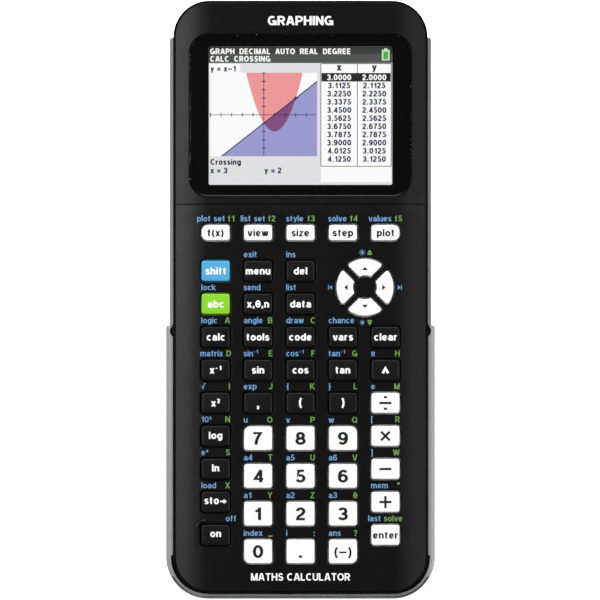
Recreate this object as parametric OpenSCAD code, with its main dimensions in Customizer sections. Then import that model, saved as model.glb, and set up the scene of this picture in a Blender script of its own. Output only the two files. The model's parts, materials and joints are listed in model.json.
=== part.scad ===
// Graphing calculator lying on its back on its stored slide cover.
// +Z points out of the face, +Y towards the display end and +X to the right.
// The origin is under the middle of the whole object, on the table.

/* [Overall] */
// Length from the case's display end to the cover's closed end
total_l = 190.6; // [190.4:0.1:191]
// Travel of every key
key_travel = 1; // [0.6:0.1:1.1]

/* [Case] */
// Width of the case across its sides
case_w = 81; // [80.8:0.1:81.2]
// Length of the case
case_l = 188.7; // [188.4:0.1:188.8]
// Plan radius of the case's four corners
case_corner_r = 11.5; // [11:0.1:12]
// Height of the case's underside above the table
case_bottom_z = 2.1; // [2.1:0.05:2.2]
// Height of the flat middle of the face
face_z = 16.8; // [16.8:0.1:17.2]
// Height of the joint between front and rear case
seam_z = 8.4; // [8.3:0.1:8.5]
// Thickness of the case's side walls
wall_t = 1.8; // [1.6:0.1:1.9]
// Thickness of the face
face_t = 2; // [1.8:0.1:2]
// Thickness of the rear case's floor
floor_t = 2; // [1.9:0.1:2]
// Half width of the face's flat middle
flat_half_w = 31.5; // [31:0.25:32]
// Angle at which the face slopes down to the sides
slope_angle = 12; // [9:1:13]
// Radius of the bend between the flat middle and the slopes
bend_r = 13; // [10:1:14]

/* [Keys] */
// Distance between key columns
column_pitch = 13.5; // [13.3:0.1:13.6]
// Distance between rows of function and side keys
row_pitch = 10.5; // [10.4:0.1:10.6]
// Distance between rows of number keys
number_pitch = 12; // [11.8:0.1:12.1]
// Width of every rectangular key
key_w = 9.1; // [8.8:0.1:9.3]
// Length of a key in the white row under the display
graph_key_l = 5.1; // [4.8:0.1:5.4]
// Length of a function or side key
side_key_l = 6.6; // [6.3:0.1:6.8]
// Length of a number key
number_key_l = 7.8; // [7.5:0.1:8]
// Corner radius of a key
key_r = 0.9; // [0.7:0.1:1.1]
// Larger corner radius at the outer corners of a group of keys
group_r = 2; // [1.4:0.1:2.2]
// Outer radius of the ring of arrow keys
arrow_r = 9.15; // [9:0.05:9.3]
// Radius of the case's disc inside the arrow keys
arrow_hub_r = 3.7; // [3.4:0.1:4]
// Width of the gap between two arrow keys
arrow_gap = 2; // [1.9:0.1:2.2]
// Height of a key's top above the face
key_stand = 1.1; // [0.9:0.1:1.3]
// Gap between a key and its opening, on each side
key_gap = 0.35; // [0.3:0.05:0.4]

/* [Display] */
// Width of the lens
lens_w = 70.8; // [70:0.1:71.2]
// Length of the lens
lens_l = 51.8; // [51:0.1:52.2]
// Corner radius of the lens
lens_r = 6; // [5:0.5:7]
// Thickness of the lens
lens_t = 1.2; // [1:0.1:1.3]
// Depth of the lens below the face
lens_drop = 0.5; // [0.4:0.1:0.5]
// Middle of the lens along the case
lens_y = 58.7; // [58.5:0.1:59]
// Width of the picture area of the 2.8 inch panel
picture_w = 58.4; // [57.6:0.1:58.6]
// Length of the picture area
picture_l = 44; // [43.2:0.1:44.4]

/* [Slide cover] */
// Width of the cover across its tall rails
cover_w = 85.8; // [85.6:0.1:86.2]
// Width of the cover across its low walls
cover_upper_w = 83.7; // [83.5:0.1:84]
// Thickness of the cover's plate
cover_t = 1.8; // [1.6:0.1:1.8]
// Height of the tall rails
rail_z = 12.7; // [12.5:0.1:13]
// Height of the low walls
low_wall_z = 6; // [5:0.5:7]
// Where the tall rails start, along the case
rail_top_y = -8.1; // [-9:0.1:-8]
// Where the rails' lips stop, along the case
rail_end_y = -81.8; // [-82:0.1:-81]

/* [Hidden] */
$fn = 64;
cut = 1;
fit = 0.1;

// case
case_top_y = total_l / 2;
case_y = case_top_y - case_l / 2;
case_bottom_y = case_top_y - case_l;
case_half_w = case_w / 2;
floor_z = case_bottom_z + floor_t;
ceiling_z = face_z - face_t;
inner_w = case_w - 2 * wall_t;
inner_l = case_l - 2 * wall_t;
inner_r = case_corner_r - wall_t;

// tongue that the cover's rails grip
tongue_reach = 0.65;
tongue_end_reach = 0.3;
tongue_z = [9.2, 11];
tongue_top_y = -7.5;

// locating rib of the rear case
rib_t = 0.9;
rib_h = 0.8;

// screws, as [x, y]
CASE_SCREWS = [
    [-31, 89], [31, 89],
    [-35.3, 28], [35.3, 28],
    [-31, -86.5], [31, -86.5]
];
screw_r = 0.95;
pilot_r = 1;
screw_head_r = 2.2;
screw_head_h = 1.6;
boss_r = 2.5;
post_r = 3.2;
head_pocket_r = 2.4;
head_seat_z = 6.4;
case_screw_tip_z = 13.6;
pilot_end_z = 14;
shank_hole_r = 1.3;

// battery and its cover
battery_size = [52, 60, 4.9];
battery_y = 50;
battery_z = 4.25;
battery_hole = [54, 62];
battery_cover_size = [60, 70];
battery_cover_t = 1;
battery_ledge_z = case_bottom_z + battery_cover_t + fit;
lug_y = battery_y - battery_cover_size[1] / 2 - 1;
lug_r = 4.5;
lug_top_z = 4.6;
lug_seat_z = 3.7;
lug_post_r = 6;
lug_post_z = 8.9;
lug_screw_tip_z = 8.3;
lug_pilot_end_z = 8.6;
bay_wall_t = 1.2;

// circuit board
board_z = 9.5;
board_t = 1.2;
board_top_z = board_z + board_t;
board_gap = 0.8;
board_screw_gap = 0.4;
socket_x = 22;
socket_size = [7.7, 9.2, 3.9];
socket_z = board_z + 0.5;
socket_set_back = 0.5;
socket_hole_gap = 0.3;
light_y = 76;
light_z = board_top_z + 1.1;
light_r = 0.75;
reset_spot = [26, -30];
reset_hole_r = 1;

// display
display_z = 11;
display_frame = [66, 50, 2];
display_glass = [picture_w + 4.6, picture_l + 3.5, 0.8];
window = [picture_w + 3.6, picture_l + 2.5];
ledge_w = lens_w + 5;
ledge_l = lens_l + 5;
ledge_z = 13.9;
lens_z = face_z - lens_drop - lens_t;

// key mat
mat_z = 10.9;
mat_t = 0.8;
mat_size = [67, 109];
mat_y = -29;
dome_z = mat_z + mat_t + key_travel + 0.7;
dome_r = [2.7, 1.9];
dome_hollow_r = 1.5;
dome_hollow_z = dome_z - 0.7;

// keys
key_top_z = face_z + key_stand;
flange_z = dome_z;
flange_t = 1.2;
flange_reach = 0.8;
arrow_flange_reach = 0.6;
arrow_spot = [1.5 * column_pitch + 0.25, 4];
graph_row_y = 21.4;
first_row_y = 9.25;
number_row_y = -44;

// guard ridge beside the power key
guard_gap = 1;
guard_t = 0.7;
guard_z = face_z + 0.6;
guard_reach = [3.4, 8.2];

// cover
cover_bottom_y = -total_l / 2;
cover_end_r = 13.4;
cover_wall_t = 1.4;
cover_plate_w = 78;
cover_plate_top_y = 92;
low_wall_top_y = 84;
rail_gap = 0.2;
groove_z = [tongue_z[0] - 0.2, tongue_z[1] + 0.2];
groove_half_w = case_half_w + tongue_reach + 0.3;
notch_l = 4;
notch_depth = 0.9;
notch_y = rail_top_y - 1.4;
notch_r = (notch_l * notch_l / 4 + notch_depth * notch_depth) / (2 * notch_depth);

WHITE = "#F2F2F0";
BLACK = "#242424";
BLUE = "#5AAFDD";
GREEN = "#7DD80C";

// names of the keys, row by row
GRAPH_ROW = ["key_function", "key_view", "key_size", "key_step", "key_plot"];
SHORT_ROWS = [
    ["key_shift", "key_menu", "key_delete"],
    ["key_letters", "key_variable", "key_data"]
];
FULL_ROWS = [
    ["key_calculate", "key_tools", "key_program", "key_memory", "key_clear"],
    ["key_inverse", "key_sine", "key_cosine", "key_tangent", "key_power"],
    ["key_square", "key_comma", "key_open_bracket", "key_close_bracket", "key_divide"]
];
SIDE_ROWS = [
    ["key_log", "key_multiply"],
    ["key_ln", "key_minus"],
    ["key_store", "key_plus"],
    ["key_on", "key_enter"]
];
NUMBER_ROWS = [
    ["key_7", "key_8", "key_9"],
    ["key_4", "key_5", "key_6"],
    ["key_1", "key_2", "key_3"],
    ["key_0", "key_point", "key_negative"]
];
ARROWS = ["key_up", "key_left", "key_down", "key_right"];
ROUND_TOP_LEFT = ["key_function", "key_7"];
ROUND_TOP_RIGHT = ["key_plot", "key_9"];
ROUND_BOTTOM_RIGHT = ["key_plot", "key_negative"];
ROUND_BOTTOM_LEFT = ["key_function", "key_0"];
WHITE_SIDE_KEYS = ["key_divide", "key_multiply", "key_minus", "key_plus", "key_enter"];

function column_x(column) = (column - 2) * column_pitch;
function row_y(row) = first_row_y - row * row_pitch;
function is_in(name, names) = len([for (n = names) if (n == name) n]) > 0;
function corner(name, names) = is_in(name, names) ? group_r : key_r;
function corners(name) = [
    corner(name, ROUND_TOP_LEFT),
    corner(name, ROUND_TOP_RIGHT),
    corner(name, ROUND_BOTTOM_RIGHT),
    corner(name, ROUND_BOTTOM_LEFT)
];
function side_colour(name) =
    name == "key_shift" ? BLUE
    : name == "key_letters" ? GREEN
    : is_in(name, WHITE_SIDE_KEYS) ? WHITE
    : BLACK;
function key(name, x, y, length, colour) = [name, [x, y], [key_w, length], corners(name), colour];

// each rectangular key as [name, middle, size, corner radii, colour]
KEYS = [
    for (c = [0:4]) key(GRAPH_ROW[c], column_x(c), graph_row_y, graph_key_l, WHITE),
    for (r = [0:1], c = [0:2])
        key(SHORT_ROWS[r][c], column_x(c), row_y(r), side_key_l, side_colour(SHORT_ROWS[r][c])),
    for (r = [0:2], c = [0:4])
        key(FULL_ROWS[r][c], column_x(c), row_y(r + 2), side_key_l, side_colour(FULL_ROWS[r][c])),
    for (r = [0:3], c = [0:1])
        key(SIDE_ROWS[r][c], column_x(4 * c), row_y(r + 5), side_key_l, side_colour(SIDE_ROWS[r][c])),
    for (r = [0:3], c = [0:2])
        key(NUMBER_ROWS[r][c], column_x(c + 1), number_row_y - r * number_pitch, number_key_l, WHITE)
];
power_key = [for (k = KEYS) if (k[0] == "key_on") k][0];

// ---------------------------------------------------------------- outlines

// rectangle with a radius for each corner: top left, top right, bottom right, bottom left
module rounded_corners(size, radii) {
    sides = [[-1, 1], [1, 1], [1, -1], [-1, -1]];
    difference() {
        square(size, center = true);
        for (i = [0:3]) {
            r = radii[i];
            translate([sides[i][0] * (size[0] / 2 - r), sides[i][1] * (size[1] / 2 - r)])
                difference() {
                    scale(sides[i]) square(r + cut);
                    circle(r);
                }
        }
    }
}

// rectangle with one radius for all its corners
module rounded_rect(size, r) {
    square([size[0] - 2 * r, size[1]], center = true);
    square([size[0], size[1] - 2 * r], center = true);
    for (x = [-1, 1], y = [-1, 1])
        translate([x * (size[0] / 2 - r), y * (size[1] / 2 - r)]) circle(r);
}

// the case's outline, grown outwards by reach
module case_outline(reach) {
    translate([0, case_y])
        rounded_rect([case_w + 2 * reach, case_l + 2 * reach], case_corner_r + reach);
}

// the arrow key that points to +Y, grown outwards by reach
module arrow_outline(reach) {
    intersection() {
        difference() {
            circle(arrow_r + reach);
            circle(arrow_hub_r - reach);
        }
        translate([0, (arrow_gap / 2 - reach) * sqrt(2)]) rotate(45) square(2 * arrow_r);
    }
}

module prism(bottom, top) {
    translate([0, 0, bottom]) linear_extrude(top - bottom) children();
}

// ---------------------------------------------------------------- front case

// cross-section of the case under its face, in X and Z
module face_profile() {
    bend_x = flat_half_w + bend_r * sin(slope_angle);
    bend_z = face_z - bend_r * (1 - cos(slope_angle));
    edge_x = case_half_w + cut;
    edge_z = bend_z - (edge_x - bend_x) * tan(slope_angle);
    half = [[edge_x, 0], [edge_x, edge_z], [bend_x, bend_z], [flat_half_w, face_z]];
    polygon([
        for (p = half) p,
        for (i = [len(half) - 1:-1:0]) [-half[i][0], half[i][1]]
    ]);
    for (x = [-flat_half_w, flat_half_w])
        translate([x, face_z - bend_r]) circle(bend_r, $fn = 128);
}

module tongue() {
    low_y = case_bottom_y - tongue_end_reach;
    middle_y = (tongue_top_y + low_y) / 2;
    r = case_corner_r + tongue_end_reach;
    prism(tongue_z[0], tongue_z[1])
        translate([0, middle_y])
            rounded_corners([case_w + 2 * tongue_reach, tongue_top_y - low_y], [0.3, 0.3, r, r]);
}

module power_key_guard() {
    size = power_key[2];
    outer = size + 2 * [guard_gap + guard_t, guard_gap + guard_t];
    inner = size + 2 * [guard_gap, guard_gap];
    translate(power_key[1])
        prism(ceiling_z + 0.5, guard_z)
            intersection() {
                difference() {
                    rounded_rect(outer, key_r + guard_gap + guard_t);
                    rounded_rect(inner, key_r + guard_gap);
                }
                translate([-outer[0] / 2, outer[1] / 2 - guard_reach[1]]) square([guard_reach[0], 9]);
            }
}

module case_bosses() {
    for (s = CASE_SCREWS)
        translate([s[0], s[1], seam_z + 0.2]) cylinder(h = ceiling_z - seam_z, r = boss_r);
}

module key_openings() {
    opening = [2 * key_gap, 2 * key_gap];
    for (k = KEYS)
        translate(k[1])
            rounded_corners(k[2] + opening, [for (r = k[3]) r + key_gap]);
    translate(arrow_spot)
        for (i = [0:3]) rotate(90 * i) arrow_outline(key_gap);
}

module front_case() {
    color(BLACK)
        difference() {
            union() {
                intersection() {
                    prism(seam_z, face_z + cut) case_outline(0);
                    translate([0, case_top_y + cut, 0])
                        rotate([90, 0, 0]) linear_extrude(case_l + 2 * cut) face_profile();
                }
                tongue();
                power_key_guard();
            }
            difference() {
                prism(seam_z - cut, ceiling_z)
                    translate([0, case_y]) rounded_rect([inner_w, inner_l], inner_r);
                case_bosses();
                translate([0, lens_y])
                    prism(ledge_z, ceiling_z + cut) square([ledge_w, ledge_l], center = true);
            }
            prism(ledge_z - cut, face_z + cut)
                translate([0, lens_y]) rounded_rect(window, 1);
            prism(lens_z, face_z + cut)
                translate([0, lens_y])
                    rounded_rect([lens_w + 2 * fit, lens_l + 2 * fit], lens_r + fit);
            prism(ceiling_z - cut, face_z + cut) key_openings();
            for (s = CASE_SCREWS)
                translate([s[0], s[1], seam_z]) cylinder(h = pilot_end_z - seam_z, r = pilot_r);
            socket_opening();
            light_opening();
        }
}

module socket_opening() {
    gap = socket_hole_gap;
    translate([socket_x - socket_size[0] / 2 - gap, case_top_y - 2 * wall_t, socket_z - gap])
        cube([socket_size[0] + 2 * gap, 3 * wall_t, socket_size[2] + 2 * gap]);
}

module light_opening() {
    translate([case_half_w - 2 * wall_t, light_y, light_z])
        rotate([0, 90, 0]) cylinder(h = 3 * wall_t, r = light_r + fit);
}

// ---------------------------------------------------------------- display

module screen_lens() {
    color("#101012")
        prism(lens_z, lens_z + lens_t)
            translate([0, lens_y]) rounded_rect([lens_w, lens_l], lens_r);
}

module display_module() {
    glass_z = display_z + display_frame[2];
    ribbon_l = 7.8;
    color("silver")
        translate([0, lens_y]) {
            prism(display_z, glass_z) rounded_rect([display_frame[0], display_frame[1]], 1);
            prism(glass_z, glass_z + display_glass[2])
                square([display_glass[0], display_glass[1]], center = true);
            translate([-10, -display_frame[1] / 2 - ribbon_l, display_z]) cube([20, ribbon_l + cut, 0.3]);
        }
}

// ---------------------------------------------------------------- electronics

// a part soldered under the board: middle, and size across, along and down
module under_board(spot, size) {
    translate([spot[0] - size[0] / 2, spot[1] - size[1] / 2, board_z - size[2]])
        cube(size + [0, 0, 0.1]);
}

module circuit_board() {
    outline = [inner_w - 2 * board_gap, inner_l - 2 * board_gap];
    processor = [14, 14, 1.4];
    memory = [10, 8, 1.1];
    flash = [8, 6, 1.1];
    crystal = [3.2, 7, 1.6];
    charger = [4, 4, 1];
    capacitor = [1.6, 3.2, 1.4];
    connector = [9, 4.5, 3.2];
    reset_switch = [6, 6, 3];
    color("#1E6B3A") {
        difference() {
            union() {
                prism(board_z, board_top_z)
                    translate([0, case_y]) rounded_rect(outline, inner_r - board_gap);
                under_board([0, -12], processor);
                under_board([18, -8], memory);
                under_board([-18, -8], flash);
                under_board([12, -26], crystal);
                under_board([22, 0], charger);
                under_board([-14, 12.5], connector);
                under_board(reset_spot, reset_switch);
                for (i = [-2:2]) under_board([5 * i, -40], capacitor);
            }
            for (s = CASE_SCREWS)
                translate([s[0], s[1], board_z - cut])
                    cylinder(h = board_t + 2 * cut, r = boss_r + board_screw_gap);
            translate([socket_x, case_top_y, board_z - cut])
                linear_extrude(board_t + 2 * cut)
                    square(2 * [socket_size[0] / 2 + fit, socket_size[1] + wall_t], center = true);
        }
        charge_socket();
        translate([inner_w / 2 - 2 * board_gap - 1, light_y, board_top_z - fit]) status_light();
    }
}

module status_light() {
    translate([0, 0, light_z - board_top_z + fit])
        rotate([0, 90, 0]) cylinder(h = 2, r = light_r);
    translate([-1, -1, 0]) cube([2, 2, 2]);
}

module charge_socket() {
    back_y = case_top_y - socket_set_back - socket_size[1];
    shell_t = 0.4;
    tongue_t = 0.9;
    translate([socket_x, back_y, socket_z]) {
        difference() {
            translate([-socket_size[0] / 2, 0, 0]) cube(socket_size);
            translate([-socket_size[0] / 2 + shell_t, 3, shell_t])
                cube([socket_size[0] - 2 * shell_t, socket_size[1], socket_size[2] - 2 * shell_t]);
        }
        translate([-2, 2, (socket_size[2] - tongue_t) / 2]) cube([4, 6, tongue_t]);
        translate([-socket_size[0] / 2 - 1, 1, 0]) cube([socket_size[0] + 2, 3, 1]);
    }
}

// ---------------------------------------------------------------- key mat and keys

module dome(spot) {
    translate([spot[0], spot[1], mat_z + mat_t - fit])
        cylinder(h = dome_z - mat_z - mat_t + fit, r1 = dome_r[0], r2 = dome_r[1]);
}

module dome_hollow(spot) {
    translate([spot[0], spot[1], mat_z - cut]) cylinder(h = dome_hollow_z - mat_z + cut, r = dome_hollow_r);
}

module key_mat() {
    arrow_dome_r = (arrow_r + arrow_hub_r) / 2;
    arrow_spots = [
        for (i = [0:3])
            arrow_spot + arrow_dome_r * [-sin(90 * i), cos(90 * i)]
    ];
    spots = concat([for (k = KEYS) k[1]], arrow_spots);
    color("#8C8C90")
        difference() {
            union() {
                prism(mat_z, mat_z + mat_t) translate([0, mat_y]) rounded_rect(mat_size, 3);
                for (s = spots) dome(s);
            }
            for (s = spots) dome_hollow(s);
        }
}

module rectangular_key(k) {
    reach = [flange_reach, flange_reach];
    color(k[4])
        translate(k[1]) {
            prism(flange_z, flange_z + flange_t) square(k[2] + 2 * reach, center = true);
            prism(flange_z, key_top_z) rounded_corners(k[2], k[3]);
        }
}

module arrow_key(turn) {
    color(WHITE)
        translate(arrow_spot)
            rotate(turn) {
                prism(flange_z, flange_z + flange_t) arrow_outline(arrow_flange_reach);
                prism(flange_z, key_top_z) arrow_outline(0);
            }
}

// ---------------------------------------------------------------- rear case

module battery_cover_outline(gap) {
    translate([0, battery_y])
        rounded_rect([battery_cover_size[0] + 2 * gap, battery_cover_size[1] + 2 * gap], 3 + gap);
}

module rear_case() {
    bay = battery_hole + 2 * [bay_wall_t, bay_wall_t];
    color(BLACK)
        difference() {
            union() {
                difference() {
                    prism(case_bottom_z, seam_z) case_outline(0);
                    prism(floor_z, seam_z + cut)
                        translate([0, case_y]) rounded_rect([inner_w, inner_l], inner_r);
                }
                difference() {
                    prism(floor_z - fit, seam_z + rib_h)
                        translate([0, case_y])
                            rounded_rect([inner_w - 2 * fit, inner_l - 2 * fit], inner_r - fit);
                    prism(floor_z - cut, seam_z + 2 * cut)
                        translate([0, case_y])
                            rounded_rect([inner_w - 2 * rib_t, inner_l - 2 * rib_t], inner_r - rib_t);
                }
                prism(floor_z - fit, seam_z)
                    translate([0, battery_y]) square(bay, center = true);
                for (s = CASE_SCREWS)
                    translate([s[0], s[1], case_bottom_z + fit])
                        cylinder(h = seam_z - case_bottom_z - fit, r = post_r);
                translate([0, lug_y, floor_z - fit])
                    cylinder(h = lug_post_z - floor_z + fit, r = lug_post_r);
            }
            prism(case_bottom_z - cut, seam_z + cut)
                translate([0, battery_y]) square(battery_hole, center = true);
            prism(case_bottom_z - cut, battery_ledge_z) battery_cover_outline(fit);
            translate([0, lug_y, case_bottom_z - cut])
                cylinder(h = lug_top_z + fit - case_bottom_z + cut, r = lug_r + fit);
            translate([0, lug_y, case_bottom_z]) cylinder(h = lug_pilot_end_z - case_bottom_z, r = pilot_r);
            for (s = CASE_SCREWS)
                translate([s[0], s[1], case_bottom_z - cut]) {
                    cylinder(h = head_seat_z - case_bottom_z + cut, r = head_pocket_r);
                    cylinder(h = seam_z, r = shank_hole_r);
                }
            translate([reset_spot[0], reset_spot[1], case_bottom_z - cut])
                cylinder(h = floor_t + 2 * cut, r = reset_hole_r);
        }
}

module battery() {
    color("#3A5FA8")
        prism(battery_z, battery_z + battery_size[2])
            translate([0, battery_y]) rounded_rect([battery_size[0], battery_size[1]], 2);
}

module battery_cover() {
    step = [battery_hole[0] - 1, battery_hole[1] - 1];
    color(BLACK)
        difference() {
            union() {
                prism(case_bottom_z, case_bottom_z + battery_cover_t) {
                    battery_cover_outline(0);
                    translate([0, lug_y]) circle(lug_r);
                }
                prism(case_bottom_z + fit, floor_z - fit)
                    translate([0, battery_y]) rounded_rect(step, 2);
                translate([0, lug_y, case_bottom_z + fit])
                    cylinder(h = lug_top_z - case_bottom_z - fit, r = lug_r);
            }
            translate([0, lug_y, case_bottom_z - cut]) {
                cylinder(h = lug_seat_z - case_bottom_z + cut, r = head_pocket_r);
                cylinder(h = 2 * lug_r, r = shank_hole_r);
            }
        }
}

// ---------------------------------------------------------------- screws

// a pan head screw pointing up, its head's top side at seat_z, with a cross recess
module screw(seat_z, tip_z) {
    slot = [2.4, 0.5, 0.8];
    difference() {
        union() {
            translate([0, 0, seat_z - screw_head_h]) cylinder(h = screw_head_h, r = screw_head_r);
            translate([0, 0, seat_z - fit]) cylinder(h = tip_z - seat_z + fit, r = screw_r);
        }
        for (turn = [0, 90])
            rotate(turn)
                translate([-slot[0] / 2, -slot[1] / 2, seat_z - screw_head_h - cut])
                    cube(slot + [0, 0, cut]);
    }
}

module screws() {
    color("silver") {
        for (s = CASE_SCREWS) translate(s) screw(head_seat_z, case_screw_tip_z);
        translate([0, lug_y]) screw(lug_seat_z, lug_screw_tip_z);
    }
}

// ---------------------------------------------------------------- slide cover

// one end of the cover, from y_low to y_high, as wide as the cover less inset on each side
module cover_outline(inset, y_low, y_high) {
    full_l = rail_top_y - cover_bottom_y;
    intersection() {
        translate([0, cover_bottom_y + full_l / 2])
            rounded_corners(
                [cover_w - 2 * inset, full_l - 2 * inset],
                [0.4, 0.4, cover_end_r - inset, cover_end_r - inset]
            );
        translate([-cover_w / 2 - cut, y_low]) square([cover_w + 2 * cut, y_high - y_low]);
    }
}

module cover_plate() {
    plate_l = cover_plate_top_y - rail_top_y + cut;
    prism(0, cover_t) {
        translate([0, cover_plate_top_y - plate_l / 2])
            rounded_corners([cover_plate_w, plate_l], [10, 10, 0.1, 0.1]);
        cover_outline(0, cover_bottom_y, rail_top_y);
        low_walls_outline();
    }
}

module low_walls_outline() {
    wall_l = low_wall_top_y - rail_top_y + cut;
    outer = cover_upper_w / 2;
    for (side = [-1, 1])
        translate([side * (outer - 2), low_wall_top_y - wall_l / 2])
            rounded_corners([4, wall_l], side > 0 ? [0.3, 1.1, 0.3, 0.3] : [1.1, 0.3, 0.3, 0.3]);
}

module slide_cover() {
    rail_inner = case_half_w + rail_gap;
    color("#A3A3A5")
        difference() {
            union() {
                cover_plate();
                prism(0, low_wall_z) low_walls_outline();
                prism(0, rail_z) cover_outline(0, cover_bottom_y, rail_top_y);
            }
            prism(cover_t, rail_z + cut) {
                translate([-rail_inner, rail_end_y]) square([2 * rail_inner, 2 * total_l]);
                cover_outline(cover_wall_t, cover_bottom_y, rail_end_y);
            }
            prism(groove_z[0], groove_z[1])
                translate([-groove_half_w, rail_end_y - cut])
                    square([2 * groove_half_w, rail_top_y - rail_end_y + 2 * cut]);
            for (side = [-1, 1])
                translate([side * (rail_inner + notch_depth - notch_r), notch_y, groove_z[1] - fit])
                    cylinder(h = 2 * cut + rail_z - groove_z[1], r = notch_r);
        }
}

// ---------------------------------------------------------------- assembly

front_case();
screen_lens();
display_module();
circuit_board();
key_mat();
rear_case();
battery();
battery_cover();
screws();
slide_cover();
for (k = KEYS)
    rectangular_key(k);
for (i = [0:3])
    arrow_key(90 * i);
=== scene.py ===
import json
import math

import bmesh
import bpy
import numpy as np
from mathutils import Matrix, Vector
from mathutils.geometry import delaunay_2d_cdt

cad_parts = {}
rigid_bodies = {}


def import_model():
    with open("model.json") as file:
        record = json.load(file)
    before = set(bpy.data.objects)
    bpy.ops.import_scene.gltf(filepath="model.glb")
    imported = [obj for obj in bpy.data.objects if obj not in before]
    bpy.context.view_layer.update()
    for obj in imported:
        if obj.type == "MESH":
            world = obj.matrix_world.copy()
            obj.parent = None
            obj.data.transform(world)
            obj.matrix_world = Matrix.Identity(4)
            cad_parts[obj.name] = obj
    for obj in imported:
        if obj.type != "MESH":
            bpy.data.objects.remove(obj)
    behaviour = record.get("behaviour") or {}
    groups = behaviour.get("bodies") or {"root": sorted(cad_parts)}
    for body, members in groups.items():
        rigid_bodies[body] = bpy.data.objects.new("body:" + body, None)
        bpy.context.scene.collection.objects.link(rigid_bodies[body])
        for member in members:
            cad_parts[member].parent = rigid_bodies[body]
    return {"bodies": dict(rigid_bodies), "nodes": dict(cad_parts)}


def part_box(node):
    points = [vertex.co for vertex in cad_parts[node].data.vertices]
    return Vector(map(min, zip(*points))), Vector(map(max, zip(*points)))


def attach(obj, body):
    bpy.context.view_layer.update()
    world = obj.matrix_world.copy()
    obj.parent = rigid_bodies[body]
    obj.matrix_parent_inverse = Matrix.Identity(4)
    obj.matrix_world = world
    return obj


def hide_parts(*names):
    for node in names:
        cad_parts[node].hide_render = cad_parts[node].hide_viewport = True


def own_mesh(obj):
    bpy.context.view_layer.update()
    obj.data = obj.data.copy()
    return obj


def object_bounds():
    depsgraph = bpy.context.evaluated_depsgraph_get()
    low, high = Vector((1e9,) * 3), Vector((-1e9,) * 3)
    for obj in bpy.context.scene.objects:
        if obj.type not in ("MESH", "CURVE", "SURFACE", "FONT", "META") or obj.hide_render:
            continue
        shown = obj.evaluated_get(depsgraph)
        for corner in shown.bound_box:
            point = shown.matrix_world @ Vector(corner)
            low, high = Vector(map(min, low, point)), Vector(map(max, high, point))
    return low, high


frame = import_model()
cad_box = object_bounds()

# All shapes are worked out in millimetres, in the frame's axes, and stored in metres.
MM = 0.001
CASE = "case"

# face of the case; the edge profile is (growth, drop below the face)
TOP_Z = 16.8
FLAT_HALF_W = 27.6
SLOPE = math.radians(12)
BEND_R = 52.0
CASE_R = 11.5
WALL_T, FACE_T = 1.8, 2.0
EDGE_R = 0.86
EDGE_PROFILE = [
    (-0.86, 0), (-0.76, 0.02), (-0.69, 0.07), (-0.63, 0.17), (-0.06, 1.2), (-0.01, 1.35), (0, 1.5)
]
SEAM_CHAMFER = 0.15
CREASE_Y, CREASE_HALF_W, CREASE_DEPTH, CREASE_CLEARANCE = 30.5, 0.15, 0.4, 0.8
BOSS_R, BOSS_RECESS, PILOT_R, PILOT_END_Z = 2.5, 0.2, 1.0, 14.0
SCREW_TIPS_Z = 12.0
FACE_ROWS, FACE_COLUMNS, FACE_MARGIN = 3.1, 0.7, 0.3

# openings in the case's sides, as (x, z) in the display end and (y, z) in the right side
PORT_SIZE, PORT_R, PORT_SPOT = (8.1, 4.1), 1.0, (22.0, 11.95)
LIGHT_R, LIGHT_SPOT = 0.85, (76.0, 11.8)
SIDE_CUT = 4.0

# keys and their openings
FLANGE, ARROW_FLANGE, FLANGE_T = 0.8, 0.6, 1.2
KEY_GAP = 0.35
OPENING_R = 0.28
SUPPORT = 0.12
KEY_R, GROUP_R = 0.9, 2.0
KEY_EDGE_R = 0.32
KEY_DRAFT = 0.1
KEY_CROWN = 0.1
ARROW_GAP, ARROW_CORNER_R = 2.0, 0.75
ARROW_HUB_R = 3.7

# ridge beside the power key
GUARD_GAP, GUARD_T, GUARD_RISE = 1.0, 0.7, 0.6
GUARD_REACH = (3.4, 8.2)

# key mat
MAT_SHEET_T, MAT_R, MAT_CHAMFER = 0.8, 3.0, 0.1
DOME_LOW_R, DOME_TOP_R, DOME_HOLLOW_R = 2.7, 1.9, 1.5
DOME_ROOF = 0.7
DOME_CLEARANCE = 0.02

# display
LENS_FIT, LENS_R, LENS_INSET = 0.12, 6.0, 0.15
BEVEL_W, BEVEL_RISE = 0.34, 0.16
BORDER_T = 0.12
PICTURE = (58.4, 44.0)
PICTURE_DOTS = 320
WINDOW_R = 0.6
LEDGE_REACH = 2.5
LEDGE_Z = 13.9

# slide cover
RAIL_TOP_Y, RAIL_END_Y = -8.1, -81.8
LOW_WALL_TOP_Y, PLATE_TOP_Y = 84.0, 92.0
COVER_R, COVER_WALL_T, COVER_PLATE_T = 13.4, 1.6, 1.8
COVER_FOOT_R = 0.65
LOW_WALL_Z = 6.0
UPPER_HALF_W, TOP_HALF_W = 41.85, 39.0
RAIL_GAP = 0.2
GROOVE_Z = (9.0, 11.2)
TONGUE_Z = (9.2, 11.0)
TONGUE_TOP_Y = -7.5
TONGUE_REACH, TONGUE_END_REACH = 0.65, 0.3
TONGUE_END_SHOWN = 0.15  # less than the CAD's, because the shown end wall is thicker
TONGUE_SOFT = 0.25
NOTCH_HALF_L, NOTCH_DEPTH, NOTCH_DROP, NOTCH_FLOOR_Z = 1.8, 0.9, 1.75, 5.0
RIM_DROP, RIM_W = 1.4, 2.1
END_LINE, END_LINE_Y, END_LINE_DEPTH = (0.38, 0.86), -88.0, 1.9

# printing; a style of lettering is (height, weight, stretch)
PRINT_T, PRINT_SINK = 0.06, 0.03
PRINT_RISE = PRINT_T / 2 - PRINT_SINK
LABEL_STYLE = (1.9, 0.15, 1.18)
LABEL_RISE, LABEL_GAP = 2.0, 1.1


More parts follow.
